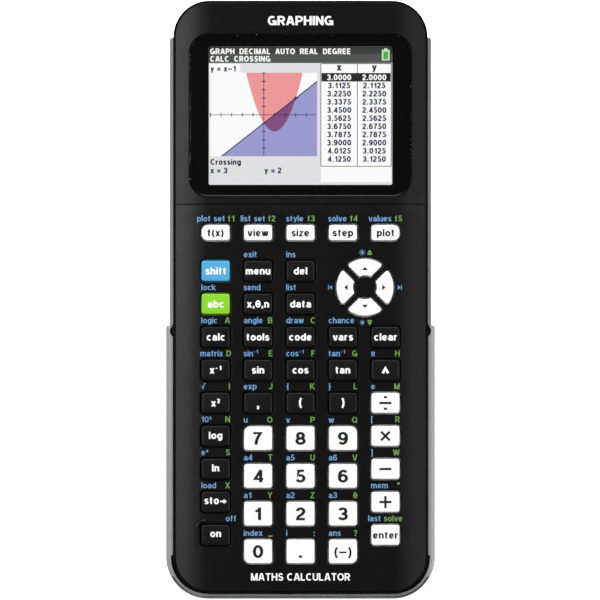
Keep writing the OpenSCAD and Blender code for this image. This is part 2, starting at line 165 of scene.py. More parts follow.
def linear(red, green, blue):
    """A screen colour, 0 to 255, as linear light."""
    def channel(value):
        value = value / 255
        return value / 12.92 if value <= 0.04045 else ((value + 0.055) / 1.055) ** 2.4
    return tuple(channel(v) for v in (red, green, blue))


def node_box(node):
    """Lowest and highest corner of a CAD node, in millimetres."""
    low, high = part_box(node)
    return np.array(low) / MM, np.array(high) / MM


# ---------------------------------------------------------------- outlines
# An outline is a function of how far it is grown outwards, and gives a closed anticlockwise loop.
LEAST_R = 0.02


def arc(centre, radius, start, end, steps):
    """Points along an arc, both ends included, angles in degrees."""
    angles = np.radians(np.linspace(start, end, steps + 1))
    return [(centre[0] + radius * math.cos(a), centre[1] + radius * math.sin(a)) for a in angles]


def turned(points, angle, centre):
    """Points turned round the origin, in radians, and then moved to a centre."""
    c, s = math.cos(angle), math.sin(angle)
    return [(centre[0] + x * c - y * s, centre[1] + x * s + y * c) for x, y in points]


def spaced(loop, longest):
    """The closed loop with points added so that no side is longer than this."""
    out = []
    for p, q in zip(loop, loop[1:] + loop[:1]):
        parts = max(1, math.ceil(math.dist(p, q) / longest - 1e-6))
        out += [(p[0] + (q[0] - p[0]) * k / parts, p[1] + (q[1] - p[1]) * k / parts) for k in range(parts)]
    return out


def rectangle(centre, size, radii, steps=6, longest=None):
    """Rounded rectangle; radii run top left, top right, bottom right, bottom left."""
    if np.isscalar(radii):
        radii = [radii] * 4
    half_w, half_l = size[0] / 2, size[1] / 2
    corners = [(1, 1, 0, radii[1]), (-1, 1, 90, radii[0]), (-1, -1, 180, radii[3]), (1, -1, 270, radii[2])]

    def outline(grow=0.0):
        loop = []
        for side_x, side_y, start, radius in corners:
            r = max(radius + grow, LEAST_R)
            middle = (centre[0] + side_x * (half_w + grow - r), centre[1] + side_y * (half_l + grow - r))
            loop += arc(middle, r, start, start + 90, steps)
        return spaced(loop, longest) if longest else loop
    return outline


def arrow_segment(centre, hub_r, ring_r, turn, steps=5):
    """Ring segment between two diagonal gaps, pointing to +Y before it's turned by radians."""
    def corner_middle(radius):
        across = ARROW_GAP / 2 + ARROW_CORNER_R
        along = math.sqrt(radius ** 2 - across ** 2)
        return np.array([along - across, along + across]) * math.sqrt(0.5)

    def outline(grow=0.0):
        top, low = corner_middle(ring_r - ARROW_CORNER_R), corner_middle(hub_r + ARROW_CORNER_R)
        rise = math.degrees(math.atan2(top[1], top[0]))
        fall = math.degrees(math.atan2(low[1], low[0]))
        r = ARROW_CORNER_R + grow
        right = arc(low, r, fall + 180, 315, steps) + arc(top, r, -45, rise, steps)
        ring = arc((0, 0), ring_r + grow, rise, 180 - rise, 18)[1:-1]
        left = [(-x, y) for x, y in reversed(right)]
        hub = arc((0, 0), hub_r - grow, 180 - fall, fall, 9)[1:-1]
        return turned(right + ring + left + hub, turn, centre)
    return outline


def circle(centre, radius, steps=24):
    return lambda grow=0.0: arc(centre, radius + grow, 0, 360 - 360 / steps, steps - 1)


# ---------------------------------------------------------------- meshes
# name of the vertex layer of edge turn, which drives paler edges: partly wear, partly a painted highlight
EDGE_TURN = "edge_turn"
SHARP = math.radians(32)


def in_loop(loop, points):
    """Which points lie inside a closed loop."""
    loop, inside = np.array(loop), np.zeros(len(points), bool)
    x, y = points[:, 0], points[:, 1]
    for (ax, ay), (bx, by) in zip(loop, np.roll(loop, -1, axis=0)):
        if ay != by:
            crosses = (ay > y) != (by > y)
            inside ^= crosses & (x < (bx - ax) * (y - ay) / (by - ay) + ax)
    return inside


class Shell:
    """The points and faces of one mesh while it's being made."""

    def __init__(self):
        self.points, self.faces = [], []

    def ring(self, loop, height):
        start = len(self.points)
        for x, y in loop:
            self.points.append((x, y, height(x, y) if callable(height) else height))
        return list(range(start, len(self.points)))

    def band(self, low, high):
        for i in range(len(low)):
            j = (i + 1) % len(low)
            self.faces.append((low[i], low[j], high[j], high[i]))

    def stack(self, outline, profile, first=None):
        """Rings for each (growth, height) of the profile, joined one to the next."""
        last = first
        for grow, height in profile:
            ring = self.ring(outline(grow), height)
            if last:
                self.band(last, ring)
            else:
                first = ring
            last = ring
        return first, last

    def lids(self, *rings):
        self.faces += [tuple(ring) for ring in rings]

    def closed(self, outline, profile):
        """A stack of rings with a lid at each end."""
        self.lids(*self.stack(outline, profile))

    def plate(self, loop, low, high):
        """Flat plate with the loop as its outline."""
        self.closed(lambda grow: loop, [(0, low), (0, high)])

    def crown(self, ring, middle, height, steps=6):
        """Closes a ring with smaller and smaller rings round its middle."""
        edge = np.array([self.points[i][:2] for i in ring])
        for k in range(1, steps):
            share = 1 - k / steps
            smaller = self.ring([tuple(middle + (p - middle) * share) for p in edge], height)
            self.band(ring, smaller)
            ring = smaller
        tip = len(self.points)
        self.points.append((middle[0], middle[1], height(*middle)))
        for i in range(len(ring)):
            self.faces.append((ring[i], ring[(i + 1) % len(ring)], tip))

    def sheet(self, outer, holes, height, inside=(), lines=()):
        """Triangles between an outer ring and hole rings, through the given points and lines."""
        flat, ids, edges = [], [], []
        for ring in [outer, *holes]:
            base = len(flat)
            flat += [self.points[i][:2] for i in ring]
            ids += ring
            edges += [(base + k, base + (k + 1) % len(ring)) for k in range(len(ring))]
        for line in [[p] for p in inside] + list(lines):
            base = len(flat)
            for x, y, *drop in line:
                flat.append((x, y))
                ids.append(len(self.points))
                self.points.append((x, y, height(x, y) - (drop[0] if drop else 0)))
            edges += [(base + k, base + k + 1) for k in range(len(line) - 1)]
        verts, _, faces, origin, _, _ = delaunay_2d_cdt([Vector(p) for p in flat], edges, [], 0, 1e-6)
        verts = np.array([tuple(v) for v in verts])
        middles = np.array([verts[list(f)].mean(0) for f in faces])
        keep = in_loop([self.points[i][:2] for i in outer], middles)
        for ring in holes:
            keep &= ~in_loop([self.points[i][:2] for i in ring], middles)
        for face, kept in zip(faces, keep):
            if kept:
                self.faces.append(tuple(ids[origin[v][0]] for v in face))

    def add(self, points, faces):
        base = len(self.points)
        self.points += [tuple(p) for p in points]
        self.faces += [tuple(base + i for i in f) for f in faces]

    def build(self, name, material):
        mesh = bpy.data.meshes.new(name)
        mesh.from_pydata([tuple(c * MM for c in p) for p in self.points], [], self.faces)
        piece = bpy.data.objects.new(name, mesh)
        bpy.context.scene.collection.objects.link(piece)
        mesh.materials.append(material)
        finish_mesh(piece)
        return piece

    def place(self, name, material, body, slot, *nodes):
        """Builds the mesh and puts it on its body."""
        return hand_over(self.build(name, material), body, slot, *nodes)


def finish_mesh(piece):
    """Welds a piece's mesh, turns its faces outwards and smooths all but its sharp edges."""
    work = bmesh.new()
    work.from_mesh(piece.data)
    for old in list(work.verts.layers.float.values()):
        work.verts.layers.float.remove(old)
    bmesh.ops.remove_doubles(work, verts=work.verts, dist=2e-7)
    bmesh.ops.dissolve_degenerate(work, edges=work.edges, dist=1e-7)
    bmesh.ops.delete(work, geom=[v for v in work.verts if not v.link_faces], context="VERTS")
    bmesh.ops.recalc_face_normals(work, faces=work.faces)
    for face in work.faces:
        face.smooth = True
    # store each vertex's edge turn, which the shader uses for paler edges: partly wear, partly a painted
    # highlight
    edge_turn = work.verts.layers.float.new(EDGE_TURN)
    for edge in work.edges:
        turn = edge.calc_face_angle_signed(0)
        edge.smooth = len(edge.link_faces) == 2 and abs(turn) < SHARP
        for vertex in edge.verts:
            vertex[edge_turn] = max(vertex[edge_turn], turn)
    work.to_mesh(piece.data)
    work.free()


def quarter(grow, height, grow_by, height_by, upright, steps=5):
    """Profile points along a quarter round that starts upright or level."""
    points = []
    for k in range(1, steps + 1):
        a = math.pi / 2 * k / steps
        slow, fast = 1 - math.cos(a), math.sin(a)
        across, up = (slow, fast) if upright else (fast, slow)
        points.append((grow + grow_by * across, height + height_by * up))
    return points


def solid(name, outline, low, high, foot=0.0, brim=0.0, material=None, brim_w=None):
    """Closed block, rounded at its lower and upper edges."""
    profile = [(-foot, low)]
    if foot:
        profile += quarter(-foot, low, foot, foot, upright=False)
    profile.append((0, high - brim))
    if brim:
        profile += quarter(0, high - brim, -(brim_w or brim), brim, upright=True, steps=8)
    shell = Shell()
    shell.closed(outline, profile)
    return shell.build(name, material)


def block(low, high):
    """Plain box as points and faces, for small details."""
    points = [(x, y, z) for z in (low[2], high[2]) for y in (low[1], high[1]) for x in (low[0], high[0])]
    faces = [(0, 2, 3, 1), (4, 5, 7, 6), (0, 1, 5, 4), (2, 6, 7, 3), (0, 4, 6, 2), (1, 3, 7, 5)]
    return points, faces


def sweep(shell, path, section):
    """Closed strip along a path of (x, y, share of the reach); section is (outwards, up)."""
    rings = []
    for i, (x, y, share) in enumerate(path):
        ahead, behind = path[min(i + 1, len(path) - 1)], path[max(i - 1, 0)]
        along = np.array(ahead[:2]) - np.array(behind[:2])
        along = along / np.linalg.norm(along)
        out = np.array([along[1], -along[0]])
        rings.append(list(range(len(shell.points), len(shell.points) + len(section))))
        shell.points += [(*(np.array((x, y)) + out * reach * share), height) for reach, height in section]
    for a, b in zip(rings, rings[1:]):
        shell.band(a, b)
    shell.lids(rings[0], rings[-1])


def combine(piece, tools, operation):
    """Joins solids to a piece or cuts them from it; the result keeps the piece's one material."""
    material = piece.data.materials[0]
    for tool in tools:
        step = piece.modifiers.new("combine", "BOOLEAN")
        step.operation, step.object, step.solver = operation, tool, "MANIFOLD"
        graph = bpy.context.evaluated_depsgraph_get()
        mesh = bpy.data.meshes.new_from_object(piece.evaluated_get(graph))
        piece.modifiers.clear()
        piece.data = mesh
        bpy.data.objects.remove(tool)
    piece.data.materials.clear()
    piece.data.materials.append(material)
    for face in piece.data.polygons:
        face.material_index = 0
    finish_mesh(piece)
    piece.data.validate()
    even = piece.modifiers.new("even shading", "WEIGHTED_NORMAL")
    even.keep_sharp = True
    even.weight = 90


def hand_over(piece, body, slot, *nodes):
    """Puts a finished piece on its body and in place of CAD nodes; its slot is not used."""
    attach(piece, body)
    if nodes:
        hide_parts(*nodes)
    return piece


# ---------------------------------------------------------------- materials

class Look:
    """A node-based material; every method adds one layer of detail to it."""

    def __init__(self, name, colour, roughness, **inputs):
        self.material = bpy.data.materials.new(name)
        self.material.use_nodes = True
        self.tree = self.material.node_tree
        self.shader = self.tree.nodes["Principled BSDF"].inputs
        self.colour = colour
        self.put(self.shader["Base Color"], colour)
        self.put(self.shader["Roughness"], roughness)
        for key, value in inputs.items():
            self.put(self.shader[key.replace("_", " ")], value)
        self.spot = self.node("TexCoord", "Object")

    def put(self, socket, value):
        """Gives an input a plain value, a colour or another node's output."""
        if isinstance(value, bpy.types.NodeSocket):
            self.tree.links.new(value, socket)
        else:
            socket.default_value = (*value, 1) if socket.type == "RGBA" else value

    def node(self, kind, output, inputs=None, **settings):
        """Adds a node, feeds it and returns one of its outputs."""
        node = self.tree.nodes.new("ShaderNode" + kind)
        for key, value in settings.items():
            setattr(node, key, value)
        for key, value in (inputs or {}).items():
            self.put(node.inputs[key], value)
        return node.outputs[output]

    def noise(self, size, detail=3.0, stretch=None):
        """Noise between 0 and 1 whose features are about size millimetres across."""
        spot = self.spot
        if stretch:
            spot = self.node("Mapping", "Vector", {"Scale": stretch, "Vector": spot})
        return self.node("TexNoise", "Fac", {"Scale": 1 / (size * MM), "Detail": detail, "Vector": spot})

    def span(self, value, low, high, to_low, to_high):
        """value, stretched from one span to another and held inside it."""
        return self.node("MapRange", "Result", {
            "From Min": low, "From Max": high, "To Min": to_low, "To Max": to_high, "Value": value})

    def product(self, a, b):
        return self.node("Math", "Value", {0: a, 1: b}, operation="MULTIPLY")

    def mix(self, share, colour):
        """Blends another colour into the material by share."""
        parts = {"Factor": share, "A": self.colour, "B": colour}
        self.colour = self.node("Mix", "Result", parts, data_type="RGBA")
        self.put(self.shader["Base Color"], self.colour)

    def mottle(self, size, colour, most):
        """Slow colour variation."""
        self.mix(self.span(self.noise(size), 0.35, 0.7, 0, most), colour)

    def handled(self, size, low, high):
        """Roughness that varies as on a handled surface."""
        self.put(self.shader["Roughness"], self.span(self.noise(size, 5), 0.3, 0.7, low, high))

    def grain(self, size, strength, depth=0.02, stretch=None):
        """Fine moulded grain."""
        parts = {"Strength": strength, "Distance": depth * MM, "Height": self.noise(size, 2, stretch)}
        self.put(self.shader["Normal"], self.node("Bump", "Normal", parts))

    def rubbed_and_highlit_edges(self, colour, most):
        """A paler, uneven band along the outer edges, where the mesh's stored edge turn says they turn:
        partly rubbed wear, partly a painted highlight.
        """
        turn = self.node("Attribute", "Fac", attribute_name=EDGE_TURN)
        edge = self.span(turn, 0.15, 0.4, 0, most)
        self.mix(self.product(edge, self.span(self.noise(2.5, 4), 0.35, 0.65, 0.35, 1)), colour)

    def axis(self, name, vector=None):
        """One coordinate of the surface point, in metres, or of another vector."""
        return self.node("SeparateXYZ", name, {"Vector": vector or self.spot})


def plastic(name, colour, roughness, edge_rub_and_highlight, grain=0.35, bump=0.12, specular=0.35, dull_sides=False):
    """Moulded plastic; dull sides shine less than the faces that look up."""
    colour = linear(*colour)
    look = Look(name, colour, roughness, Specular_IOR_Level=specular)
    if dull_sides:
        upright = look.axis("Z", look.node("TexCoord", "Normal"))
        look.put(look.shader["Specular IOR Level"], look.span(upright, 0.8, 0.96, 0.02, specular))
    look.mottle(18, tuple(c * 0.86 for c in colour), 0.6)
    # paler edges: partly rubbed wear, partly a painted highlight
    look.rubbed_and_highlit_edges(linear(*edge_rub_and_highlight), 0.45)
    look.handled(9, roughness - 0.015, roughness + 0.03)
    look.grain(grain, bump)
    return look.material


def print_ink(name, colour, specular=0.12):
    """Flat printed ink."""
    colour = linear(*colour)
    look = Look(name, colour, 0.5, Specular_IOR_Level=specular)
    look.mottle(1.2, tuple(c * 0.9 for c in colour), 0.5)
    look.grain(0.12, 0.1)
    return look.material


def screen_light(name, colour):
    """Lit part of the display, with the panel's fine pixel grid."""
    look = Look(name, (0.01, 0.01, 0.01), 0.4, Specular_IOR_Level=0.2, Emission_Strength=1.0)
    pixel = PICTURE[0] / PICTURE_DOTS
    look.put(look.shader["Emission Color"], look.node("TexBrick", "Color", {
        "Color1": colour, "Color2": colour, "Mortar": tuple(c * 0.86 for c in colour), "Scale": 1 / MM,
        "Mortar Size": 0.012, "Brick Width": pixel, "Row Height": pixel, "Vector": look.spot}, offset=0))
    return look.material


def clear_lens():
    """Polished clear window: mostly straight through, with a mirror's share at its surface."""
    look = Look("lens_clear", (0.8, 0.8, 0.8), 0.03)
    look.handled(14, 0.02, 0.06)
    smudge = look.span(look.noise(11, 6), 0.4, 0.75, 0.02, 0.07)
    outside = look.span(look.node("NewGeometry", "Backfacing"), 0, 1, 1, 0)
    share = look.product(outside, look.node("Fresnel", "Fac", {"IOR": 1.35}))
    clear = look.node("BsdfTransparent", "BSDF")
    gloss = look.node("BsdfGlossy", "BSDF", {"Roughness": smudge})
    blend = look.node("MixShader", "Shader", {"Fac": share, 1: clear, 2: gloss})
    look.put(look.tree.nodes["Material Output"].inputs["Surface"], blend)
    return look.material


def board_material():
    """Solder mask with copper runs on the board, dark packages under it, metal shells on it."""
    under_z, over_z, metal_y, blend = 9.42 * MM, 10.74 * MM, (CASE_TOP_Y - 6.0) * MM, 0.03 * MM
    look = Look("board_mask", linear(24, 92, 48), 0.35, Specular_IOR_Level=0.5)
    look.mix(look.span(look.noise(2.2, 0, (1, 0.18, 1)), 0.52, 0.54, 0, 0.6), linear(40, 128, 70))
    height = look.axis("Z")
    look.mix(look.span(height, under_z, under_z + blend, 1, 0), linear(30, 30, 32))
    look.mix(look.span(height, over_z, over_z + blend, 0, 1), linear(176, 178, 182))
    look.mix(look.span(look.axis("Y"), metal_y, metal_y + 0.1 * MM, 0, 1), linear(120, 122, 126))
    look.handled(6, 0.3, 0.45)
    look.grain(0.5, 0.15)
    return look.material


def steel(name, colour, roughness):
    """Drawn or plated metal with fine lengthwise marks."""
    colour = linear(*colour)
    look = Look(name, colour, roughness, Metallic=1.0)
    look.handled(2.5, roughness - 0.06, roughness + 0.1)
    # brighter edges: partly rubbed wear, partly a painted highlight
    look.rubbed_and_highlit_edges(tuple(min(1, c * 1.4) for c in colour), 0.5)
    look.grain(0.2, 0.2, 0.01, (0.1, 1, 1))
    return look.material


def battery_wrap():
    """Blue sleeve with a pale end."""
    look = Look("battery_wrap", linear(44, 88, 150), 0.32, Specular_IOR_Level=0.5)
    low, high = node_box("battery")
    sleeve_end = (low[1] + 0.72 * (high[1] - low[1])) * MM
    look.mix(look.span(look.axis("Y"), sleeve_end, sleeve_end + 0.1 * MM, 0, 1), linear(205, 208, 212))
    look.mottle(8, linear(36, 74, 130), 0.4)
    look.handled(5, 0.25, 0.42)
    look.grain(3.0, 0.2, 0.05)
    return look.material


# The fourth colour of each plastic is its paler edge colour: partly rubbed wear, partly a painted highlight.
BLACK_PLASTIC = plastic("case_black", (11, 11, 11), 0.27, (24, 24, 25), specular=0.17, dull_sides=True)
BLACK_KEY = plastic("key_black", (13, 12, 12), 0.34, (58, 58, 60), 0.25, 0.08, 0.17)
WHITE_KEY = plastic("key_white", (238, 238, 237), 0.42, (250, 250, 250), 0.25, 0.06)
BLUE_KEY = plastic("key_blue", (66, 154, 200), 0.42, (150, 205, 235), 0.25, 0.06)
GREEN_KEY = plastic("key_green", (124, 195, 28), 0.42, (175, 228, 110), 0.25, 0.06)
COVER_PLASTIC = plastic("cover_grey", (142, 142, 144), 0.42, (156, 156, 158), 0.4, 0.12)
GLOSS_BLACK = plastic("lens_edge_black", (8, 8, 8), 0.24, (16, 16, 16), 0.2, 0.03, 0.12)
WHITE_INK = print_ink("ink_white", (240, 240, 240))
BLACK_INK = print_ink("ink_black", (28, 28, 28))
BLUE_INK = print_ink("ink_blue", (102, 144, 188))
GREEN_INK = print_ink("ink_green", (104, 146, 76))
BORDER_INK = print_ink("lens_border_ink", (4, 4, 4), 0.03)
CLEAR_LENS = clear_lens()


# ---------------------------------------------------------------- shared measures

case_low, case_high = node_box("front_case")
SEAM_Z = case_low[2]
CASE_TOP_Y = case_high[1]
CASE_LOW_Y = case_low[1] + TONGUE_END_REACH
CASE_L = CASE_TOP_Y - CASE_LOW_Y
CASE_W = case_high[0] - case_low[0] - 2 * TONGUE_REACH
CASE_Y = CASE_TOP_Y - CASE_L / 2
CEILING_Z = TOP_Z - FACE_T
case_outline = rectangle((0, CASE_Y), (CASE_W, CASE_L), CASE_R, 14, 6.2)
inner_outline = rectangle((0, CASE_Y), (CASE_W - 2 * WALL_T, CASE_L - 2 * WALL_T), CASE_R - WALL_T, 14, 6.2)

lens_low, lens_high = node_box("screen_lens")
lens_middle = (lens_low + lens_high)[:2] / 2
lens_size = (lens_high - lens_low)[:2]
lens_outline = rectangle(lens_middle, lens_size, LENS_R, 10)
ledge_outline = rectangle(lens_middle, lens_size + 2 * LEDGE_REACH, 1.0, 10)
window_outline = rectangle(lens_middle, (PICTURE[0] + 3.6, PICTURE[1] + 2.5), 1.0, 10)

key_names = [n for n in frame["bodies"] if n.startswith("key_")]
ARROW_NAMES = ["key_up", "key_left", "key_down", "key_right"]
SIGN_KEYS = ["key_divide", "key_multiply", "key_minus", "key_plus"]
GRAPH_ROW = ["key_function", "key_view", "key_size", "key_step", "key_plot"]
NUMBER_KEYS = [f"key_{n}" for n in "7894561230"] + ["key_point", "key_negative"]
WHITE_KEYS = [*SIGN_KEYS, "key_enter", *GRAPH_ROW, *NUMBER_KEYS, *ARROW_NAMES]
ROUND_CORNERS = {
    "key_function": (0, 3), "key_plot": (1, 2),
    "key_7": (0,), "key_9": (1,), "key_0": (3,), "key_negative": (2,),
}
pad_centre = sum((node_box(n)[0] + node_box(n)[1])[:2] / 2 for n in ARROW_NAMES) / 4
pad_outer_r = node_box("key_up")[1][1] - ARROW_FLANGE - pad_centre[1]


def key_outline(name):
    """A key's outline and its middle."""
    if name in ARROW_NAMES:
        turn = math.radians(90 * ARROW_NAMES.index(name))
        a = math.radians(90 * ARROW_NAMES.index(name) + 90)
        middle = pad_centre + (ARROW_HUB_R + pad_outer_r) / 2 * np.array([math.cos(a), math.sin(a)])
        return arrow_segment(pad_centre, ARROW_HUB_R, pad_outer_r, turn), middle
    low, high = node_box(name)
    middle = (low + high)[:2] / 2
    radii = [GROUP_R if i in ROUND_CORNERS.get(name, ()) else KEY_R for i in range(4)]
    return rectangle(middle, (high - low)[:2] - 2 * FLANGE, radii), middle


def face_height(x, y):
    """Height of the case's face: flat, then a bend, then an even slope to the sides."""
    past = abs(x) - FLAT_HALF_W
    if past <= 0:
        return TOP_Z
    bend_w = BEND_R * math.sin(SLOPE)
    if past <= bend_w:
        return TOP_Z - BEND_R + math.sqrt(BEND_R ** 2 - past ** 2)
    return TOP_Z - BEND_R * (1 - math.cos(SLOPE)) - (past - bend_w) * math.tan(SLOPE)


# ---------------------------------------------------------------- front case

def below_face(drop):
    """Height as a function of place, a drop below the face."""
    return lambda x, y: face_height(x, y) - drop


def opening_profile(gap, radius):
    """Rim of an opening, from the face down: flat support, quarter round, wall."""
    profile = [(gap + radius + SUPPORT, below_face(0)), (gap + radius, below_face(0))]
    for k in range(1, 6):
        a = math.pi / 2 * k / 5
        profile.append((gap + radius * (1 - math.sin(a)), below_face(radius * (1 - math.cos(a)))))
    return profile


def face_points(boxes):
    """Points spread over the face, closest together where it bends, clear of the openings."""
    rows = np.arange(case_low[1] + 3, CASE_TOP_Y - 1.5, FACE_ROWS)
    columns = [0, 7, 14, 21, *np.arange(FLAT_HALF_W, 38.8, FACE_COLUMNS)]
    columns = sorted({round(side * x, 3) for side in (-1, 1) for x in columns})
    grid = np.array([(x, y) for y in rows for x in columns])
    gap = FACE_MARGIN
    grid = grid[in_loop(case_outline(-EDGE_R - SUPPORT - gap), grid)]
    return [
        (x, y) for x, y in grid if abs(y - CREASE_Y) > CREASE_CLEARANCE
        and all(x < a - gap or x > c + gap or y < b - gap or y > d + gap for a, b, c, d in boxes)
    ]


def crease_lines():
    """Fine groove across the face between the display end and the keys."""
    half = CASE_W / 2 - EDGE_R - SUPPORT - 0.02
    rows = ((-CREASE_HALF_W, 0), (0, CREASE_DEPTH), (CREASE_HALF_W, 0))
    return [[(x, CREASE_Y + dy, drop) for x in np.linspace(-half, half, 60)] for dy, drop in rows]


def front_case_shell():
    """Upper shell with its openings, bosses, tongue and guard ridge."""
    shell = Shell()
    holes, under_holes, boxes = [], [], []
    for name in key_names:
        outline, _ = key_outline(name)
        rim, low = shell.stack(outline, opening_profile(KEY_GAP, OPENING_R) + [(KEY_GAP, CEILING_Z)])
        holes.append(rim)
        under_holes.append(low)
        loop = np.array(outline(KEY_GAP + OPENING_R + SUPPORT))
        boxes.append((*loop.min(0), *loop.max(0)))
    # the lens's recess, its ledge and the window
    rim, wall = shell.stack(lens_outline, opening_profile(LENS_FIT, 0.1) + [(LENS_FIT, lens_low[2])])
    holes.append(rim)
    boxes.append((*(lens_low[:2] - 0.6), *(lens_high[:2] + 0.6)))
    _, window_low = shell.stack(window_outline, [(0, lens_low[2]), (0, LEDGE_Z)])
    shell.band(wall, shell.ring(window_outline(0), lens_low[2]))
    _, ledge_top = shell.stack(ledge_outline, [(0, LEDGE_Z), (0, CEILING_Z)], window_low)
    under_holes.append(ledge_top)
    pilot, end_z = PILOT_R - BOSS_R, SEAM_Z + BOSS_RECESS
    for spot in boss_spots():
        shell.closed(circle(spot, BOSS_R), [
            (0, CEILING_Z + 0.3), (0, end_z + 0.1), (-0.1, end_z),
            (pilot + 0.1, end_z), (pilot, end_z + 0.15), (pilot, PILOT_END_Z)])
    # the outer side, from the face round the edge down to the seam and up the inside
    side = [(-EDGE_R - SUPPORT, below_face(0))] + [(grow, below_face(drop)) for grow, drop in EDGE_PROFILE]
    side += [(0, SEAM_Z + 2.5), (0, SEAM_Z + SEAM_CHAMFER), (-SEAM_CHAMFER, SEAM_Z)]
    top_ring, seam_ring = shell.stack(case_outline, side)
    _, under_ring = shell.stack(inner_outline, [(0, SEAM_Z), (0, CEILING_Z)], seam_ring)
    shell.sheet(top_ring, holes, face_height, face_points(boxes), crease_lines())
    shell.sheet(under_ring, under_holes, lambda x, y: CEILING_Z)
    tongue_strip(shell)
    power_guard(shell)
    piece = shell.build("front_case_shell", BLACK_PLASTIC)
    combine(piece, side_openings(), "DIFFERENCE")
    hand_over(piece, CASE, "case_plastic", "front_case")


def boss_spots():
    """Middles of the case screws, read from the CAD screws node."""
    points = np.array([v.co for v in frame["nodes"]["screws"].data.vertices]) / MM
    tall = points[points[:, 2] > SCREW_TIPS_Z]
    found = []
    for x, y, _ in tall:
        if all(math.dist((x, y), first) > 6 for first, _ in found):
            group = tall[np.hypot(tall[:, 0] - x, tall[:, 1] - y) < 4][:, :2]
            found.append(((x, y), tuple(group.min(0) / 2 + group.max(0) / 2)))
    return [middle for _, middle in found]


def tongue_strip(shell):
    """Tongue round the lower half of the case, which the cover's rails grip."""
    half_w, end_l = CASE_W / 2, TONGUE_TOP_Y - CASE_LOW_Y
    middle = (0, TONGUE_TOP_Y - end_l / 2)
    loop = rectangle(middle, (CASE_W, end_l), [0.01, 0.01, CASE_R, CASE_R], 14, 5)(0)
    low = [p for p in loop if p[1] < TONGUE_TOP_Y - 0.02]
    start = next(i for i, p in enumerate(low) if p[0] < -half_w + 0.01)
    low = low[start:] + low[:start]
    path = [(-half_w, TONGUE_TOP_Y, 0.15), (-half_w, TONGUE_TOP_Y - 0.5, 0.75)]
    path += [(x, y, 1.0) for x, y in low if y < TONGUE_TOP_Y - 1.2]
    path += [(half_w, TONGUE_TOP_Y - 0.5, 0.75), (half_w, TONGUE_TOP_Y, 0.15)]
    shaped = []
    for x, y, share in path:
        end_part = max(0.0, -(y - (CASE_LOW_Y + CASE_R)) / CASE_R)
        reach = TONGUE_REACH + (TONGUE_END_SHOWN - TONGUE_REACH) * min(1.0, end_part)
        shaped.append((x, y, share * reach / TONGUE_REACH))
    bottom, top = TONGUE_Z
    tip, soft, bit = TONGUE_REACH, TONGUE_SOFT, TONGUE_SOFT * 0.3
    sweep(shell, shaped, [
        (-0.5, bottom), (tip - soft, bottom), (tip - bit, bottom + bit), (tip, bottom + soft),
        (tip, top - soft), (tip - bit, top - bit), (tip - soft, top), (-0.5, top)])


def power_guard(shell):
    """Low ridge beside the power key, against a press by accident."""
    low, high = node_box("key_on")
    half_t = GUARD_T / 2
    left, top = low[0] + FLANGE - GUARD_GAP - half_t, high[1] - FLANGE + GUARD_GAP + half_t
    right, foot = left - half_t + GUARD_REACH[0], top + half_t - GUARD_REACH[1]
    turn_r = KEY_R + GUARD_GAP + half_t
    path = [(right, top, 0.3), (right - 0.25, top, 0.85), (right - 0.5, top, 1)]
    path += [(x, y, 1) for x, y in arc((left + turn_r, top - turn_r), turn_r, 90, 180, 8)]
    path += [(left, foot + 0.5, 1), (left, foot + 0.25, 0.85), (left, foot, 0.3)]
    sweep(shell, path, [
        (-half_t, TOP_Z - 0.6), (half_t, TOP_Z - 0.6), (half_t, TOP_Z + 0.25), (0.28, TOP_Z + 0.4),
        (-0.12, TOP_Z + GUARD_RISE), (-0.26, TOP_Z + 0.54), (-half_t, TOP_Z + 0.4)])


def side_openings():
    """Cutters for the charge socket in the display end and the status light in the right side."""
    cutters = []
    for outline, middle, axes in (
        (rectangle((0, 0), PORT_SIZE, PORT_R, 5), (PORT_SPOT[0], CASE_TOP_Y, PORT_SPOT[1]), (0, 2, 1)),
        (circle((0, 0), LIGHT_R, 20), (CASE_W / 2, *LIGHT_SPOT), (2, 0, 1)),
    ):
        cutter = solid("cutter", outline, -SIDE_CUT, SIDE_CUT)
        for vertex in cutter.data.vertices:
            vertex.co = Vector([m + vertex.co[k] / MM for m, k in zip(middle, axes)]) * MM
        finish_mesh(cutter)
        cutters.append(cutter)
    return cutters


# ---------------------------------------------------------------- keys

def key_look(name):
    """A cap's material and its slot."""
    if name == "key_shift":
        return BLUE_KEY, "key_blue"
    if name == "key_letters":
        return GREEN_KEY, "key_green"
    return (WHITE_KEY, "key_white") if name in WHITE_KEYS else (BLACK_KEY, "key_black")


def crown_height(point, middle, half):
    """How far a key's soft crown stands above its rim."""
    u, v = (point[0] - middle[0]) / half[0], (point[1] - middle[1]) / half[1]
    return KEY_CROWN * max(0.0, 1 - u * u) ** 0.5 * max(0.0, 1 - v * v) ** 0.5


def keycap(name):
    """Moulded cap with a flange under the case, drafted sides, a rounded rim and a soft crown."""
    outline, middle = key_outline(name)
    low, high = node_box(name)
    flange = ARROW_FLANGE if name in ARROW_NAMES else FLANGE
    foot, top = low[2], high[2] - KEY_CROWN
    profile = [(flange - 0.1, foot), (flange, foot + 0.1), (flange, foot + FLANGE_T - 0.1),
               (flange - 0.1, foot + FLANGE_T), (0.05, foot + FLANGE_T), (0, foot + FLANGE_T + 0.05),
               (-KEY_DRAFT, top - KEY_EDGE_R)]
    profile += quarter(-KEY_DRAFT, top - KEY_EDGE_R, -KEY_EDGE_R, KEY_EDGE_R, upright=True, steps=6)
    rim = -KEY_DRAFT - KEY_EDGE_R
    shell = Shell()
    first, last = shell.stack(outline, profile)
    shell.lids(first)
    if name in ARROW_NAMES:
        inner = shell.ring(outline(rim - 0.1), top)
        shell.band(last, inner)
        shell.lids(inner)
    else:
        half = np.array(outline(rim)).max(0) - middle
        shell.crown(last, middle, lambda x, y: top + crown_height((x, y), middle, half))
    material, slot = key_look(name)
    shell.place("cap_" + name[4:], material, name, slot, name)


